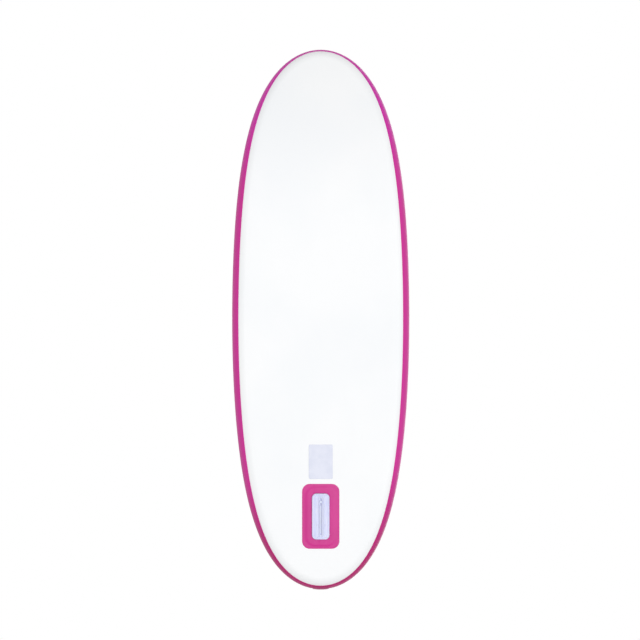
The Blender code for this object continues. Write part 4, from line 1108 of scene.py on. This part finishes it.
# %% Webbing finish and ribbons
WEBBING = finish("webbing", (52, 52, 56), (40, 40, 44), 0.72, 0.08, woven(520.0, 260.0), 0.00018, broad=40.0,
                 streaks=300.0, uv="web")
THREAD = finish("sewing_thread", (122, 122, 128), (104, 104, 110), 0.60, 0.10, grained(2600.0, 0.2), 0.00004,
                broad=60.0)


def smooth_line(points, spacing):
    """The same line with points at about even distances."""
    line = np.array(points, float)
    length = length_along(line)
    at = np.linspace(0.0, length[-1], max(2, int(round(length[-1] / spacing)) + 1))
    return np.column_stack([np.interp(at, length, axis) for axis in line.T])


def ribbon(name, line, width, thickness, ribs=0):
    """A strap whose width lies along X and whose middle line runs in the YZ plane, with rounded edges."""
    line = np.array(line, float)
    ahead = np.gradient(line, axis=0)
    ahead /= np.linalg.norm(ahead, axis=1)[:, None]
    normal = np.column_stack([-ahead[:, 1], ahead[:, 0]])
    across = np.linspace(-1, 1, 25)
    past_edge = np.clip((np.abs(across) - 0.94) / 0.06, 0, 1)
    edge = np.minimum(1.0, np.sqrt(1 - past_edge ** 2) + 0.25)
    rib = 0.06 * np.cos(across * math.pi * ribs) if ribs else 0.0
    half = thickness / 2 * edge * (0.94 + rib)
    section = np.concatenate([np.column_stack([across * width / 2, half]),
                              np.column_stack([across[::-1] * width / 2, -half[::-1]])])
    rows = [[(x, *(centre + up * lift)) for x, lift in section] for centre, up in zip(line, normal)]
    mesh = bridged(name, rows)
    width_at, length_at = np.tile(section[:, 0], len(line)), np.repeat(length_along(line), len(section))
    give_uv(mesh, "web", np.column_stack([width_at, length_at]), plain_corners=2 * len(section))
    return shade(mesh, 50.0)


def stitch_run(graph, wires):
    drawn = graph.use("GeometryNodeMeshToCurve", {"Mesh": wires["Geometry"]})
    even = graph.use("GeometryNodeResampleCurve", {"Curve": drawn, "Length": wires["Stitch"]}, mode="LENGTH")
    tangent = graph.use("GeometryNodeInputTangent")
    turned_to = graph.use("FunctionNodeAlignRotationToVector", {"Vector": tangent}, axis="Z")
    ball = graph.use("GeometryNodeMeshUVSphere", {"Segments": 8, "Rings": 6, "Radius": 1.0})
    size = graph.use("ShaderNodeCombineXYZ", {
        0: wires["Thread"], 1: wires["Thread"], 2: wires["Stitch"] * 0.43})
    return graph.use("GeometryNodeInstanceOnPoints", {
        "Points": even, "Instance": ball, "Rotation": turned_to, "Scale": size})


STITCHES = geometry_tree("stitches", [("Geometry", "NodeSocketGeometry", None), ("Stitch", FLOAT, 0.003),
                                      ("Thread", FLOAT, 0.00032)], stitch_run)


def sewn(lines, height, stitch=0.0030, thread=0.00034):
    """Stitches along flat lines of (x, y), all at one height."""
    points, edges = [], []
    for line in lines:
        first = len(points)
        points += [(x, y, height) for x, y in smooth_line(line, stitch)]
        edges += [(k, k + 1) for k in range(first, len(points) - 1)]
    mesh = bpy.data.meshes.new("seams")
    mesh.from_pydata(points, edges, [])
    made = grown_mesh(STITCHES, {"Stitch": stitch, "Thread": thread, "Material": THREAD}, mesh)
    return shade(made, 80.0)


def box_and_cross(half_x, low, high):
    """The usual sewn box with a cross in it."""
    box = [(-half_x, low), (half_x, low), (half_x, high), (-half_x, high), (-half_x, low)]
    return [box, [(-half_x, low), (half_x, high)], [(-half_x, high), (half_x, low)]]


print("stitch tree inputs:", [item.name for item in STITCHES.interface.items_tree if item.in_out == "INPUT"])


# %% Frames on the deck and glued patches
def deck_frame(x, y, turn=0.0):
    """A matrix on the deck skin at (x, y), its Z along the normal and its Y towards the tail."""
    flat = [(x, y, 0.0), (x, y - 0.01, 0.0), (x, y + 0.01, 0.0)]
    origin, before, after = (Vector(p) for p in laid(flat, 1))
    ahead = (after - before).normalized()
    up = Vector((1, 0, 0)).cross(ahead).normalized()
    basis = Matrix((ahead.cross(up), ahead, up)).transposed().to_4x4()
    return Matrix.Translation(origin) @ basis @ Matrix.Rotation(math.radians(turn), 4, "Z")


def ring_frame(joint_name, x, y, turn):
    """The deck's frame at a ring, set exactly on its joint, so that the ring's bar lies on the hinge."""
    joint = next(j for j in frame["joints"] if j["name"] == joint_name)
    rough = deck_frame(x, y, turn)
    bar_along = -Vector(joint["axis"]).normalized()
    across = bar_along.cross(rough.col[2].to_3d()).normalized()
    basis = Matrix((across, bar_along, across.cross(bar_along))).transposed().to_4x4()
    return Matrix.Translation(Vector(joint["pos_m"])) @ basis @ Matrix.Translation((0.0, 0.0, -BAR_HEIGHT))


def glued_patch(outline_of, weld, inner=()):
    """A flat patch with a rounded rim. outline_of gives its outline at an inset, and weld is the inset of
    a shallow line pressed in round it. inner goes on to a hole, as pairs of inset and height."""
    section = [(0.0, GAP)] + [(inset, PATCH_TOP - drop) for inset, drop in quarter_round(0.0006, 0.0006, 4)]
    section += [(weld - 0.0008, PATCH_TOP), (weld, PATCH_TOP - 0.00025), (weld + 0.0008, PATCH_TOP), *inner]
    levels = [(outline_of(inset), height) for inset, height in section]
    return shade(lay(loft(levels, closed=bool(inner)), 1))


print("deck frame at the middle, height", round(deck_frame(0.0, 0.0).translation.z, 4))


# %% [markdown]
# ## Carry handle
# The strap lies flat on two welded anchors, ramps up and runs straight through a foam grip. Both feet are
# sewn down with a box and a cross. The grip is a padded sleeve with a hem at each end, so its section
# swells a little towards its middle.

# %% Strap and anchors
STRAP_WIDTH, STRAP = 0.038, 0.0025
STRAP_RISE, STRAP_TOP_HALF, STRAP_RAMP, STRAP_FOOT = 0.032, 0.066, 0.038, 0.052
HANDLE_HALF = STRAP_TOP_HALF + STRAP_RAMP + STRAP_FOOT
ANCHOR = (STRAP_WIDTH + 0.040, STRAP_FOOT + 0.036)
ANCHOR_Y = HANDLE_HALF - STRAP_FOOT / 2
HANDLE_FRAME = deck_frame(0.0, 0.0)
strap_foot = PATCH_TOP + GAP + STRAP / 2

seams = []
for end, side in (("front", -1), ("rear", 1)):
    name = f"handle_anchor_{end}"
    centre = (0.0, side * ANCHOR_Y)
    mesh = glued_patch(lambda inset: rounded_rectangle(ANCHOR, 0.024, centre, -inset), 0.0045)
    piece(name, mesh, "board", "magenta_pvc", PATCH_CLOTH)
    low, high = sorted((side * (HANDLE_HALF - 0.005), side * (STRAP_TOP_HALF + STRAP_RAMP + 0.004)))
    seams += box_and_cross(STRAP_WIDTH / 2 - 0.004, low, high)

reach_y = np.linspace(-HANDLE_HALF, HANDLE_HALF, 157)
ramp_share = np.clip((STRAP_TOP_HALF + STRAP_RAMP - np.abs(reach_y)) / STRAP_RAMP, 0.0, 1.0)
rise = strap_foot + (STRAP_RISE - strap_foot) * (1 - np.cos(math.pi * ramp_share)) / 2
strap = ribbon("strap", smooth_line(np.column_stack([reach_y, rise]), 0.002), STRAP_WIDTH, STRAP, ribs=7)
strap = joined("handle_strap", [strap], [sewn(seams, strap_foot + STRAP / 2 - 0.0001)])
piece("handle_strap", moved(strap, HANDLE_FRAME), "board", "webbing", WEBBING, THREAD)

# %% Grip
GRIP_HALF = STRAP_TOP_HALF - 0.006
GRIP_HOLE = (STRAP_WIDTH + 0.0016, STRAP + 2 * GAP)
GRIP_OUTER = (GRIP_HOLE[0] + 0.011, GRIP_HOLE[1] + 0.014)
GRIP_END = 0.0016
NEOPRENE = finish("grip_foam", (44, 44, 48), (34, 34, 38), 0.86, 0.06, grained(1900.0, 0.5), 0.00010,
                  broad=30.0, sheen_weight=0.25, sheen_roughness=0.5)


def grip_section(y):
    """The sleeve's outline at y: full in the middle, a stitched-down groove by each hem, rounded ends."""
    swell = 0.0011 * (abs(y) / GRIP_HALF) ** 4
    hem = 0.0009 * math.exp(-((abs(y) - (GRIP_HALF - 0.0085)) / 0.0009) ** 2)
    end = max(0.0, (abs(y) - GRIP_HALF + GRIP_END) / GRIP_END)
    rounding = GRIP_END * (1 - math.sqrt(max(0.0, 1 - end * end)))
    return rounded_rectangle(GRIP_OUTER, GRIP_OUTER[1] / 2 - 0.0004, grow=-swell - hem - rounding, steps=10,
                             straight=(12, 2))


grip_at = np.unique(np.concatenate([np.linspace(-GRIP_HALF, GRIP_HALF, 61)] + [
    side * (GRIP_HALF - np.linspace(0.0, 0.012, 25)) for side in (-1, 1)]).round(6))
hole = rounded_rectangle(GRIP_HOLE, 0.0005, steps=10, straight=(12, 2))
levels = [(grip_section(y), y) for y in grip_at] + [(hole, GRIP_HALF - 0.001), (hole, 0.001 - GRIP_HALF)]
grip_mesh = shade(loft(levels, closed=True), 40.0)
stand_up = Matrix.Rotation(math.pi / 2, 4, "X")
moved(grip_mesh, HANDLE_FRAME @ Matrix.Translation((0.0, 0.0, STRAP_RISE)) @ stand_up)
grip = piece("handle_grip", grip_mesh, "board", "grip_rubber", NEOPRENE)

# %% [markdown]
# ## Tie-downs
# Each is a welded disc, a webbing loop and a steel D-ring that swings in the loop. The loop's middle line
# runs flat, turns up round the ring's bar with room to spare, and comes down again. The ring is a tube
# along a closed D, so its mesh is one sweep. Five copies share the meshes' recipe and differ in frame.

# %% Steel and swept tubes
STEEL = finish("polished_steel", (208, 209, 213), (196, 197, 202), 0.14, 0.12, grained(900.0, 0.1), 0.000006,
               broad=30.0, streaks=400.0, metallic=1.0)


def swept_tube(name, points, radius, around, closed=False):
    """A round wire along a line, its section carried along without twist."""
    line = np.array(points, float)
    if closed:
        ahead = np.roll(line, -1, axis=0) - np.roll(line, 1, axis=0)
    else:
        ahead = np.gradient(line, axis=0)
    ahead /= np.linalg.norm(ahead, axis=1)[:, None]
    side = np.cross(ahead[0], (0.0, 0.0, 1.0))
    turn = np.linspace(0, 2 * math.pi, around, endpoint=False)
    rows = []
    for centre, forward in zip(line, ahead):
        side = side - forward * np.dot(side, forward)
        side /= np.linalg.norm(side)
        up = np.cross(forward, side)
        rows.append(centre + radius * (np.outer(np.cos(turn), side) + np.outer(np.sin(turn), up)))
    return shade(bridged(name, rows, closed), 50.0)


print("steel:", STEEL.name)

# %% Rings, loops and discs
LOOP_WIDTH, LOOP, LOOP_PLAY = 0.0220, 0.0012, 0.0004
RING_WIRE, RING_CORNER, RING_REACH = 0.0020, 0.0040, 0.0240
BAR_HEIGHT = PATCH_TOP + GAP + RING_WIRE
RING_HALF_BAR = LOOP_WIDTH / 2 + RING_CORNER
RING_SHOULDER = RING_REACH - RING_HALF_BAR
RING_INSIDE = RING_HALF_BAR - RING_WIRE
LOOP_FOOT = RING_SHOULDER + math.sqrt(RING_INSIDE**2 - (LOOP_WIDTH / 2) ** 2) - 2 * LOOP_PLAY
TIE_RADIUS = 0.045


def ring_line():
    """The D: a straight bar through the origin, two tight corners and a wide bow."""
    bend, half = RING_CORNER, RING_HALF_BAR
    corner = np.linspace(0, math.pi / 2, 9)
    first = np.column_stack([bend - bend * np.cos(corner), -half + bend - bend * np.sin(corner)])
    bow = np.linspace(-math.pi / 2, math.pi / 2, 49)
    wide = np.column_stack([RING_SHOULDER + half * np.cos(bow), half * np.sin(bow)])
    last = first[::-1] * (1, -1)
    bar = np.column_stack([np.zeros(12), np.linspace(half - bend, -half + bend, 14)[1:-1]])
    flat = np.concatenate([first, wide, last, bar])
    return np.column_stack([flat, np.zeros(len(flat))])


def loop_line():
    """Middle line of the webbing loop: foot, turn, arc over the bar, turn and foot."""
    radius = RING_WIRE + LOOP_PLAY + LOOP / 2
    low = PATCH_TOP + GAP + LOOP / 2
    start = math.radians(12.0)
    out = radius + 0.0021
    from_foot = np.array((-out, low))
    to_arc = np.array((-radius * math.cos(start), BAR_HEIGHT + radius * math.sin(start)))
    hold = (from_foot + (0.0017, 0.0), to_arc - np.array((math.sin(start), math.cos(start))) * 0.0012)
    share = np.linspace(0, 1, 9)[:, None]
    turn = ((1 - share) ** 3 * from_foot + 3 * (1 - share) ** 2 * share * hold[0]
            + 3 * (1 - share) * share ** 2 * hold[1] + share ** 3 * to_arc)
    arc = np.linspace(math.pi - start, start, 17)[1:-1]
    over = np.column_stack([radius * np.cos(arc), BAR_HEIGHT + radius * np.sin(arc)])
    foot = np.column_stack([np.linspace(-LOOP_FOOT, -out, 10)[:-1], np.full(9, low)])
    half = np.concatenate([foot, turn])
    return np.concatenate([half, over, half[::-1] * (-1, 1)])


def tie_down(name, body, x, y, turn):
    """A tie-down at (x, y), its loop and ring turned by some degrees round the deck's normal."""
    frame_here = ring_frame(f"{name}_ring_swing", x, y, turn)
    disc = glued_patch(lambda inset: circle(TIE_RADIUS - inset, (x, y)), 0.0050)
    piece(f"{name}_patch", disc, "board", "magenta_pvc", PATCH_CLOTH)
    seam_half = LOOP_WIDTH / 2 - 0.0025
    rows = [[(-seam_half, side * at), (seam_half, side * at)]
            for side in (-1, 1) for at in (0.0078, 0.0106, 0.0134)]
    threads = sewn(rows, PATCH_TOP + GAP + LOOP - 0.00005, 0.0024, 0.00030)
    loop = joined("loop", [ribbon("loop", loop_line(), LOOP_WIDTH, LOOP, ribs=5)], [threads])
    moved(loop, frame_here @ Matrix.Rotation(math.pi / 2, 4, "Z"))
    piece(f"{name}_loop", loop, "board", "webbing", WEBBING, THREAD)
    ring = swept_tube("ring", ring_line(), RING_WIRE, 24, closed=True)
    moved(ring, frame_here @ Matrix.Translation((0.0, 0.0, BAR_HEIGHT)))
    piece(f"{name}_ring", ring, body, "ring_steel", STEEL)


for place, from_nose in (("front", 0.360), ("mid", 0.640)):
    tie_y = from_nose - HALF_LENGTH
    tie_x = float(panel_half_width(tie_y)) - 0.105
    tie_down(f"{place}_port", f"ring_{place}_port", tie_x, tie_y, 180.0)
    tie_down(f"{place}_starboard", f"ring_{place}_starboard", -tie_x, tie_y, 0.0)
tie_down("leash", "ring_leash", 0.0, HALF_LENGTH - 0.130, 90.0)
print("ring points", len(ring_line()), "loop points", len(loop_line()))

# %% [markdown]
# ## Air valve
# Everything in the valve turns round one axis, so each piece is a profile spun round it: body, nut, pin,
# diaphragm, gasket and cap. Only the grip bar, the ribs round the cap and the spider that guides the pin
# are added. The body goes through a hole that is cut in the deck skin, clamped by the nut inside.

# %% Valve finishes and spun profiles
VALVE_PLASTIC = finish("valve_plastic", (92, 94, 99), (84, 86, 91), 0.38, 0.10, grained(1800.0, 0.2),
                       0.00004, broad=40.0, streaks=250.0)
PIN_PLASTIC = finish("pin_plastic", (214, 216, 220), (205, 207, 212), 0.34, 0.10, grained(1800.0, 0.2),
                     0.00003, broad=60.0, streaks=300.0)
SEAL = finish("seal_rubber", (38, 38, 40), (30, 30, 32), 0.62, 0.08, grained(2200.0, 0.3), 0.00004,
              broad=60.0)
TETHER_PLASTIC = finish("tether_plastic", (80, 82, 87), (72, 74, 79), 0.48, 0.10, grained(1600.0, 0.2),
                        0.00004, broad=50.0, streaks=250.0)
VALVE_Y = HALF_LENGTH - 0.252
VALVE_FRAME = deck_frame(0.0, VALVE_Y)


def eased(profile, radius):
    """Rounds every corner of a closed profile by a small radius, less where its sides are short."""
    points = [np.array(p, float) for p in profile]
    out = []
    for k, corner in enumerate(points):
        if corner[0] < 1e-9:
            out.append(corner)
            continue
        back, on = points[k - 1] - corner, points[(k + 1) % len(points)] - corner
        reach = min(radius, 0.45 * np.linalg.norm(back), 0.45 * np.linalg.norm(on))
        start, end = (corner + way / np.linalg.norm(way) * reach for way in (back, on))
        for share in np.linspace(0, 1, 4):
            out.append((1 - share) ** 2 * start + 2 * (1 - share) * share * corner + share ** 2 * end)
    return out


def spun(name, profile, ease=0.0003):
    """A closed profile of (radius, height) turned round Z. A point on the axis stays one point."""
    turn = np.linspace(0, 2 * math.pi, 96, endpoint=False)
    rows = [[(radius * math.cos(a), radius * math.sin(a), z) for a in (turn if radius > 1e-9 else turn[:1])]
            for radius, z in eased(profile, ease)]
    return shade(bridged(name, rows, closed=True), 40.0)


def bar(size, corner, low, high, edge, matrix=Matrix.Identity(4)):
    """An upright bar with rounded corners in plan and a rounded top edge."""
    steps = [(0.0, low)] + [(-inset, high - drop) for inset, drop in quarter_round(edge, edge, 4)]
    levels = [(rounded_rectangle(size, corner, grow=grow, steps=5, straight=(3, 3)), height)
              for grow, height in steps]
    return moved(shade(loft(levels), 40.0), matrix)


def valve_piece(name, mesh, body, slot, material):
    """A piece that is drawn round the valve's axis and then set on the deck."""
    return piece(name, moved(mesh, VALVE_FRAME), body, slot, material)


print("valve at", [round(c, 4) for c in VALVE_FRAME.translation])

# %% Hole for the valve and its patch
BARREL_RADIUS = 0.0190
BARREL_HOLE = BARREL_RADIUS + 0.0006
PATCH_REACH = 0.036
deck = skins["deck_skin"]
drill = spun("drill", [(0.0, -0.02), (BARREL_HOLE, -0.02), (BARREL_HOLE, 0.02), (0.0, 0.02)], 0.0)
cut_deck = combined("DIFFERENCE", evaluated_mesh(deck), moved(drill, VALVE_FRAME))
deck.modifiers.clear()
deck.data = cut_deck
with edited(cut_deck) as bm:
    bmesh.ops.dissolve_degenerate(bm, dist=1e-5, edges=bm.edges)

inner = [(0.0066 + 0.0058 * k, PATCH_TOP) for k in range(5)]
inner += [(PATCH_REACH - 0.0012, PATCH_TOP), (PATCH_REACH - 0.0004, PATCH_TOP)]
inner += [(PATCH_REACH, PATCH_TOP - 0.0004), (PATCH_REACH, GAP)]
valve_patch = glued_patch(
    lambda inset: circle(BARREL_HOLE + PATCH_REACH - inset, (0.0, VALVE_Y)), 0.0050, inner)
piece("valve_patch", valve_patch, "board", "magenta_pvc", PATCH_CLOTH)
print("deck skin now", len(cut_deck.polygons), "faces")

# %% Body and nut
BORE, SEAT, HUB, STEM = 0.0155, 0.0110, 0.0055, 0.0028
TETHER, TETHER_LOW = 0.0012, PATCH_TOP + GAP
FLANGE_RADIUS, FLANGE_LOW = BARREL_RADIUS + 0.0100, TETHER_LOW + TETHER + GAP
FLANGE_TOP = FLANGE_LOW + 0.0030
SEAT_TOP, SEAT_BOTTOM = -0.0170, -0.0195
HUB_TOP = SEAT_TOP + 0.0035
HUB_LOW = SEAT_TOP - 0.0008
HUB_BORE = STEM + 0.0004
DIAPHRAGM_TOP = SEAT_BOTTOM - GAP
DIAPHRAGM_LOW = DIAPHRAGM_TOP - 0.0020
BARREL_LOW = DIAPHRAGM_LOW - 0.0050
NUT_TOP = -2 * (SKIN + GAP)
NUT_RADIUS, NUT_COLLAR, NUT_BORE = 0.0290, 0.0250, BARREL_RADIUS + GAP

body_profile = [
    (BORE, FLANGE_TOP - 0.0006), (BORE + 0.0006, FLANGE_TOP), (FLANGE_RADIUS - 0.0012, FLANGE_TOP),
    (FLANGE_RADIUS, FLANGE_TOP - 0.0012), (FLANGE_RADIUS, FLANGE_LOW), (BARREL_RADIUS, FLANGE_LOW),
    (BARREL_RADIUS, BARREL_LOW), (BORE, BARREL_LOW), (BORE, SEAT_BOTTOM), (SEAT, SEAT_BOTTOM),
    (SEAT, SEAT_TOP), (BORE, SEAT_TOP)]
hub_profile = [(HUB_BORE, HUB_TOP), (HUB, HUB_TOP), (HUB, HUB_LOW), (HUB_BORE, HUB_LOW)]
arm_size = (BORE - HUB + 0.0016, 0.0024)
arm_out = Matrix.Translation(((BORE + HUB - 0.0004) / 2, 0.0, 0.0))
arms = [bar(arm_size, 0.0004, SEAT_TOP - 0.0006, HUB_TOP - 0.0004, 0.0004,
            Matrix.Rotation(2 * math.pi * k / 3, 4, "Z") @ arm_out) for k in range(3)]
body = shade(combined("UNION", spun("body", body_profile), spun("hub", hub_profile), *arms), 40.0)
valve_piece("valve_body", body, "board", "valve_plastic", VALVE_PLASTIC)

nut_profile = [(NUT_BORE, NUT_TOP), (NUT_RADIUS, NUT_TOP), (NUT_RADIUS, NUT_TOP - 0.0022),
               (NUT_COLLAR, NUT_TOP - 0.0032), (NUT_COLLAR, NUT_TOP - 0.0090), (NUT_BORE, NUT_TOP - 0.0090)]
valve_piece("valve_nut", spun("nut", nut_profile), "board", "valve_plastic", VALVE_PLASTIC)

# %% Pin, spring and diaphragm
BUTTON_RADIUS, BUTTON_TOP = 0.0065, 0.0010
BUTTON_LOW = BUTTON_TOP - 0.0025
FOOT_TOP = DIAPHRAGM_LOW - GAP
FOOT_LOW = FOOT_TOP - 0.0013
pin_profile = [
    (0.0, BUTTON_TOP), (BUTTON_RADIUS - 0.0008, BUTTON_TOP), (BUTTON_RADIUS, BUTTON_TOP - 0.0008),
    (BUTTON_RADIUS, BUTTON_LOW), (STEM, BUTTON_LOW), (STEM, FOOT_TOP), (HUB, FOOT_TOP), (HUB, FOOT_LOW),
    (0.0, FOOT_LOW)]
mark = bar((0.0014, 0.0090), 0.0003, BUTTON_TOP - 0.0008, BUTTON_TOP + 0.002, 0.0002)
pin = shade(combined("DIFFERENCE", spun("pin", pin_profile, 0.0002), mark), 40.0)
valve_piece("valve_stem", pin, "pin", "valve_pin", PIN_PLASTIC)

disc_profile = [(STEM + GAP, DIAPHRAGM_TOP), (0.0135, DIAPHRAGM_TOP), (0.0135, DIAPHRAGM_TOP - 0.0012),
                (0.0125, DIAPHRAGM_LOW), (STEM + GAP, DIAPHRAGM_LOW)]
valve_piece("valve_diaphragm", spun("diaphragm", disc_profile), "diaphragm", "seal_rubber", SEAL)

SPRING_RADIUS, SPRING_WIRE, SPRING_TURNS = 0.0046, 0.0004, 5
turns = np.linspace(0, 1, SPRING_TURNS * 28 + 1) * SPRING_TURNS
spring_foot, spring_top = HUB_TOP + GAP + SPRING_WIRE, BUTTON_LOW - GAP - SPRING_WIRE
end_rise = 2.3 * SPRING_WIRE
climb = np.clip((turns - 0.5) / (SPRING_TURNS - 1.0), 0.0, 1.0)
ends = np.minimum(turns, 0.5) + np.maximum(turns - SPRING_TURNS + 0.5, 0.0)
angle = 2 * math.pi * turns
coil = np.column_stack([SPRING_RADIUS * np.cos(angle), SPRING_RADIUS * np.sin(angle),
                        spring_foot + (spring_top - spring_foot - end_rise) * climb + end_rise * ends])
wire = swept_tube("spring", coil, SPRING_WIRE, 12)
spring = valve_piece("valve_spring", wire, "board", "spring_steel", STEEL)
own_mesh(spring)

# %% Gasket and cap
CAP_RADIUS, CAP_LOW = BARREL_RADIUS + 0.0070, FLANGE_TOP + GAP
CAP_TOP = CAP_LOW + 0.0100
CAP_CEILING = CAP_TOP - 0.0022
CAP_WALL = 0.0028
GASKET_TOP = CAP_LOW + 0.0015
GASKET_INNER, GASKET_OUTER = BORE + 0.0010, CAP_RADIUS - CAP_WALL - 0.0004
GROOVE, GROOVE_HIGH = 0.0012, CAP_LOW + 0.0055
GROOVE_LOW = GROOVE_HIGH - 0.0018
PLUG_OUTER, PLUG_INNER, PLUG_LOW = BORE - 0.0004, BORE - 0.0020, FLANGE_TOP - 0.0040
gasket_profile = [(GASKET_INNER, GASKET_TOP), (GASKET_OUTER, GASKET_TOP), (GASKET_OUTER, CAP_LOW),
                  (GASKET_INNER, CAP_LOW)]
valve_piece("valve_gasket", spun("gasket", gasket_profile, 0.0006), "cap_seal", "seal_rubber", SEAL)

cap_profile = [
    (0.0, CAP_TOP), (CAP_RADIUS - 0.0015, CAP_TOP), (CAP_RADIUS, CAP_TOP - 0.0015),
    (CAP_RADIUS, GROOVE_HIGH), (CAP_RADIUS - GROOVE, GROOVE_HIGH), (CAP_RADIUS - GROOVE, GROOVE_LOW),
    (CAP_RADIUS, GROOVE_LOW), (CAP_RADIUS, CAP_LOW), (CAP_RADIUS - CAP_WALL, CAP_LOW),
    (CAP_RADIUS - CAP_WALL, GASKET_TOP + GAP), (PLUG_OUTER, GASKET_TOP + GAP), (PLUG_OUTER, PLUG_LOW),
    (PLUG_INNER, PLUG_LOW), (PLUG_INNER, CAP_CEILING), (0.0, CAP_CEILING)]
grip_bar = bar((0.0080, 2 * (CAP_RADIUS - 0.0040)), 0.0035, CAP_TOP - 0.0011, CAP_TOP + 0.0060, 0.0012)
cap_solid = shade(combined("UNION", spun("cap", cap_profile), grip_bar), 40.0)


def rib_ring(graph, wires):
    posts = graph.use("GeometryNodeMeshCircle", {"Vertices": wires["Count"], "Radius": wires["Radius"]})
    outwards = graph.use("GeometryNodeInputPosition")
    away = graph.use("FunctionNodeAlignRotationToVector", {"Vector": outwards}, axis="X")
    rib = graph.use("GeometryNodeMeshCylinder", {
        "Vertices": 10, "Radius": wires["Rib"], "Depth": wires["Height"]})
    return graph.use("GeometryNodeInstanceOnPoints", {"Points": posts, "Instance": rib, "Rotation": away})


RIBS = geometry_tree("cap_ribs", [("Count", COUNT, 54), ("Radius", FLOAT, CAP_RADIUS),
                                  ("Rib", FLOAT, 0.0007), ("Height", FLOAT, 0.0024)], rib_ring)
rib_height = CAP_TOP - 0.0015 - GROOVE_HIGH - 0.0002
ribs = grown_mesh(RIBS, {"Radius": CAP_RADIUS - 0.0003, "Height": rib_height, "Material": VALVE_PLASTIC})
moved(shade(ribs, 50.0), Matrix.Translation((0.0, 0.0, GROOVE_HIGH + 0.0001 + rib_height / 2)))
cap = joined("valve_cap", [cap_solid, ribs])
valve_piece("valve_cap", cap, "cap", "valve_plastic", VALVE_PLASTIC)

# %% [markdown]
# ## Tether
# One soft moulding holds the cap to the valve: a ring round the barrel, a strap that loops out, and a ring
# in the cap's groove. It rides on no body, so when the cap lifts it stays where it is made.

# %% Tether
def washer(inner, outer, low, high):
    edge = 0.00025
    section = [(outer, low + edge), (outer, high - edge), (outer - edge, high), (inner + edge, high),
               (inner, high - edge), (inner, low + edge), (inner + edge, low), (outer - edge, low)]
    return loft([(circle(radius), z) for radius, z in section], closed=True)


TETHER_WIDTH = 0.0070
half = TETHER / 2
low_mid, groove_mid = TETHER_LOW + half, (GROOVE_HIGH + GROOVE_LOW) / 2
low_ring = (BARREL_RADIUS + GAP, BARREL_RADIUS + GAP + 0.0041)
high_ring = (CAP_RADIUS - GROOVE + GAP, CAP_RADIUS + 0.0022)
reach = FLANGE_RADIUS + 0.010
bend = (groove_mid - low_mid) / 2
turn = np.linspace(-math.pi / 2, math.pi / 2, 19)
strap_line = np.concatenate([
    np.column_stack([np.linspace(low_ring[1] - 0.0019, reach, 14)[:-1], np.full(13, low_mid)]),
    np.column_stack([reach + bend * np.cos(turn), low_mid + bend + bend * np.sin(turn)]),
    np.column_stack([np.linspace(reach, CAP_RADIUS + 0.0011, 14)[1:], np.full(13, groove_mid)])])
strap_mesh = ribbon("tether_strap", strap_line, TETHER_WIDTH, TETHER)
moved(strap_mesh, Matrix.Rotation(math.pi, 4, "Z"))
tether_mesh = joined("valve_tether", [
    washer(*low_ring, low_mid - half, low_mid + half),
    washer(*high_ring, groove_mid - half, groove_mid + half), strap_mesh])
tether = valve_piece("valve_tether", shade(tether_mesh, 40.0), None, "tether_plastic", TETHER_PLASTIC)
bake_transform(tether)

# %% [markdown]
# ## Inside the hull
# The drop-stitched core and the band inside the rail can't be seen from outside. Their frame nodes are
# kept, and they get the finishes of bare woven cloth and of uncoated vinyl.

# %% Hidden layers
BARE_CLOTH = finish("bare_cloth", (236, 234, 226), (226, 223, 214), 0.85, 0.05, woven(500.0, 500.0), 0.00008,
                    broad=5.0)
INNER_CLOTH = finish("inner_cloth", (230, 230, 232), (220, 220, 223), 0.60, 0.08, woven(700.0, 700.0),
                     0.000012, broad=5.0)
for name, look, slot in (("drop_stitch_core", BARE_CLOTH, "core_fabric"),
                         ("rail_inner_band", INNER_CLOTH, "inner_pvc")):
    node = frame["nodes"][name]
    for kept in node.material_slots:
        kept.material = look
    print(name, "has", len(node.material_slots), "material slots")
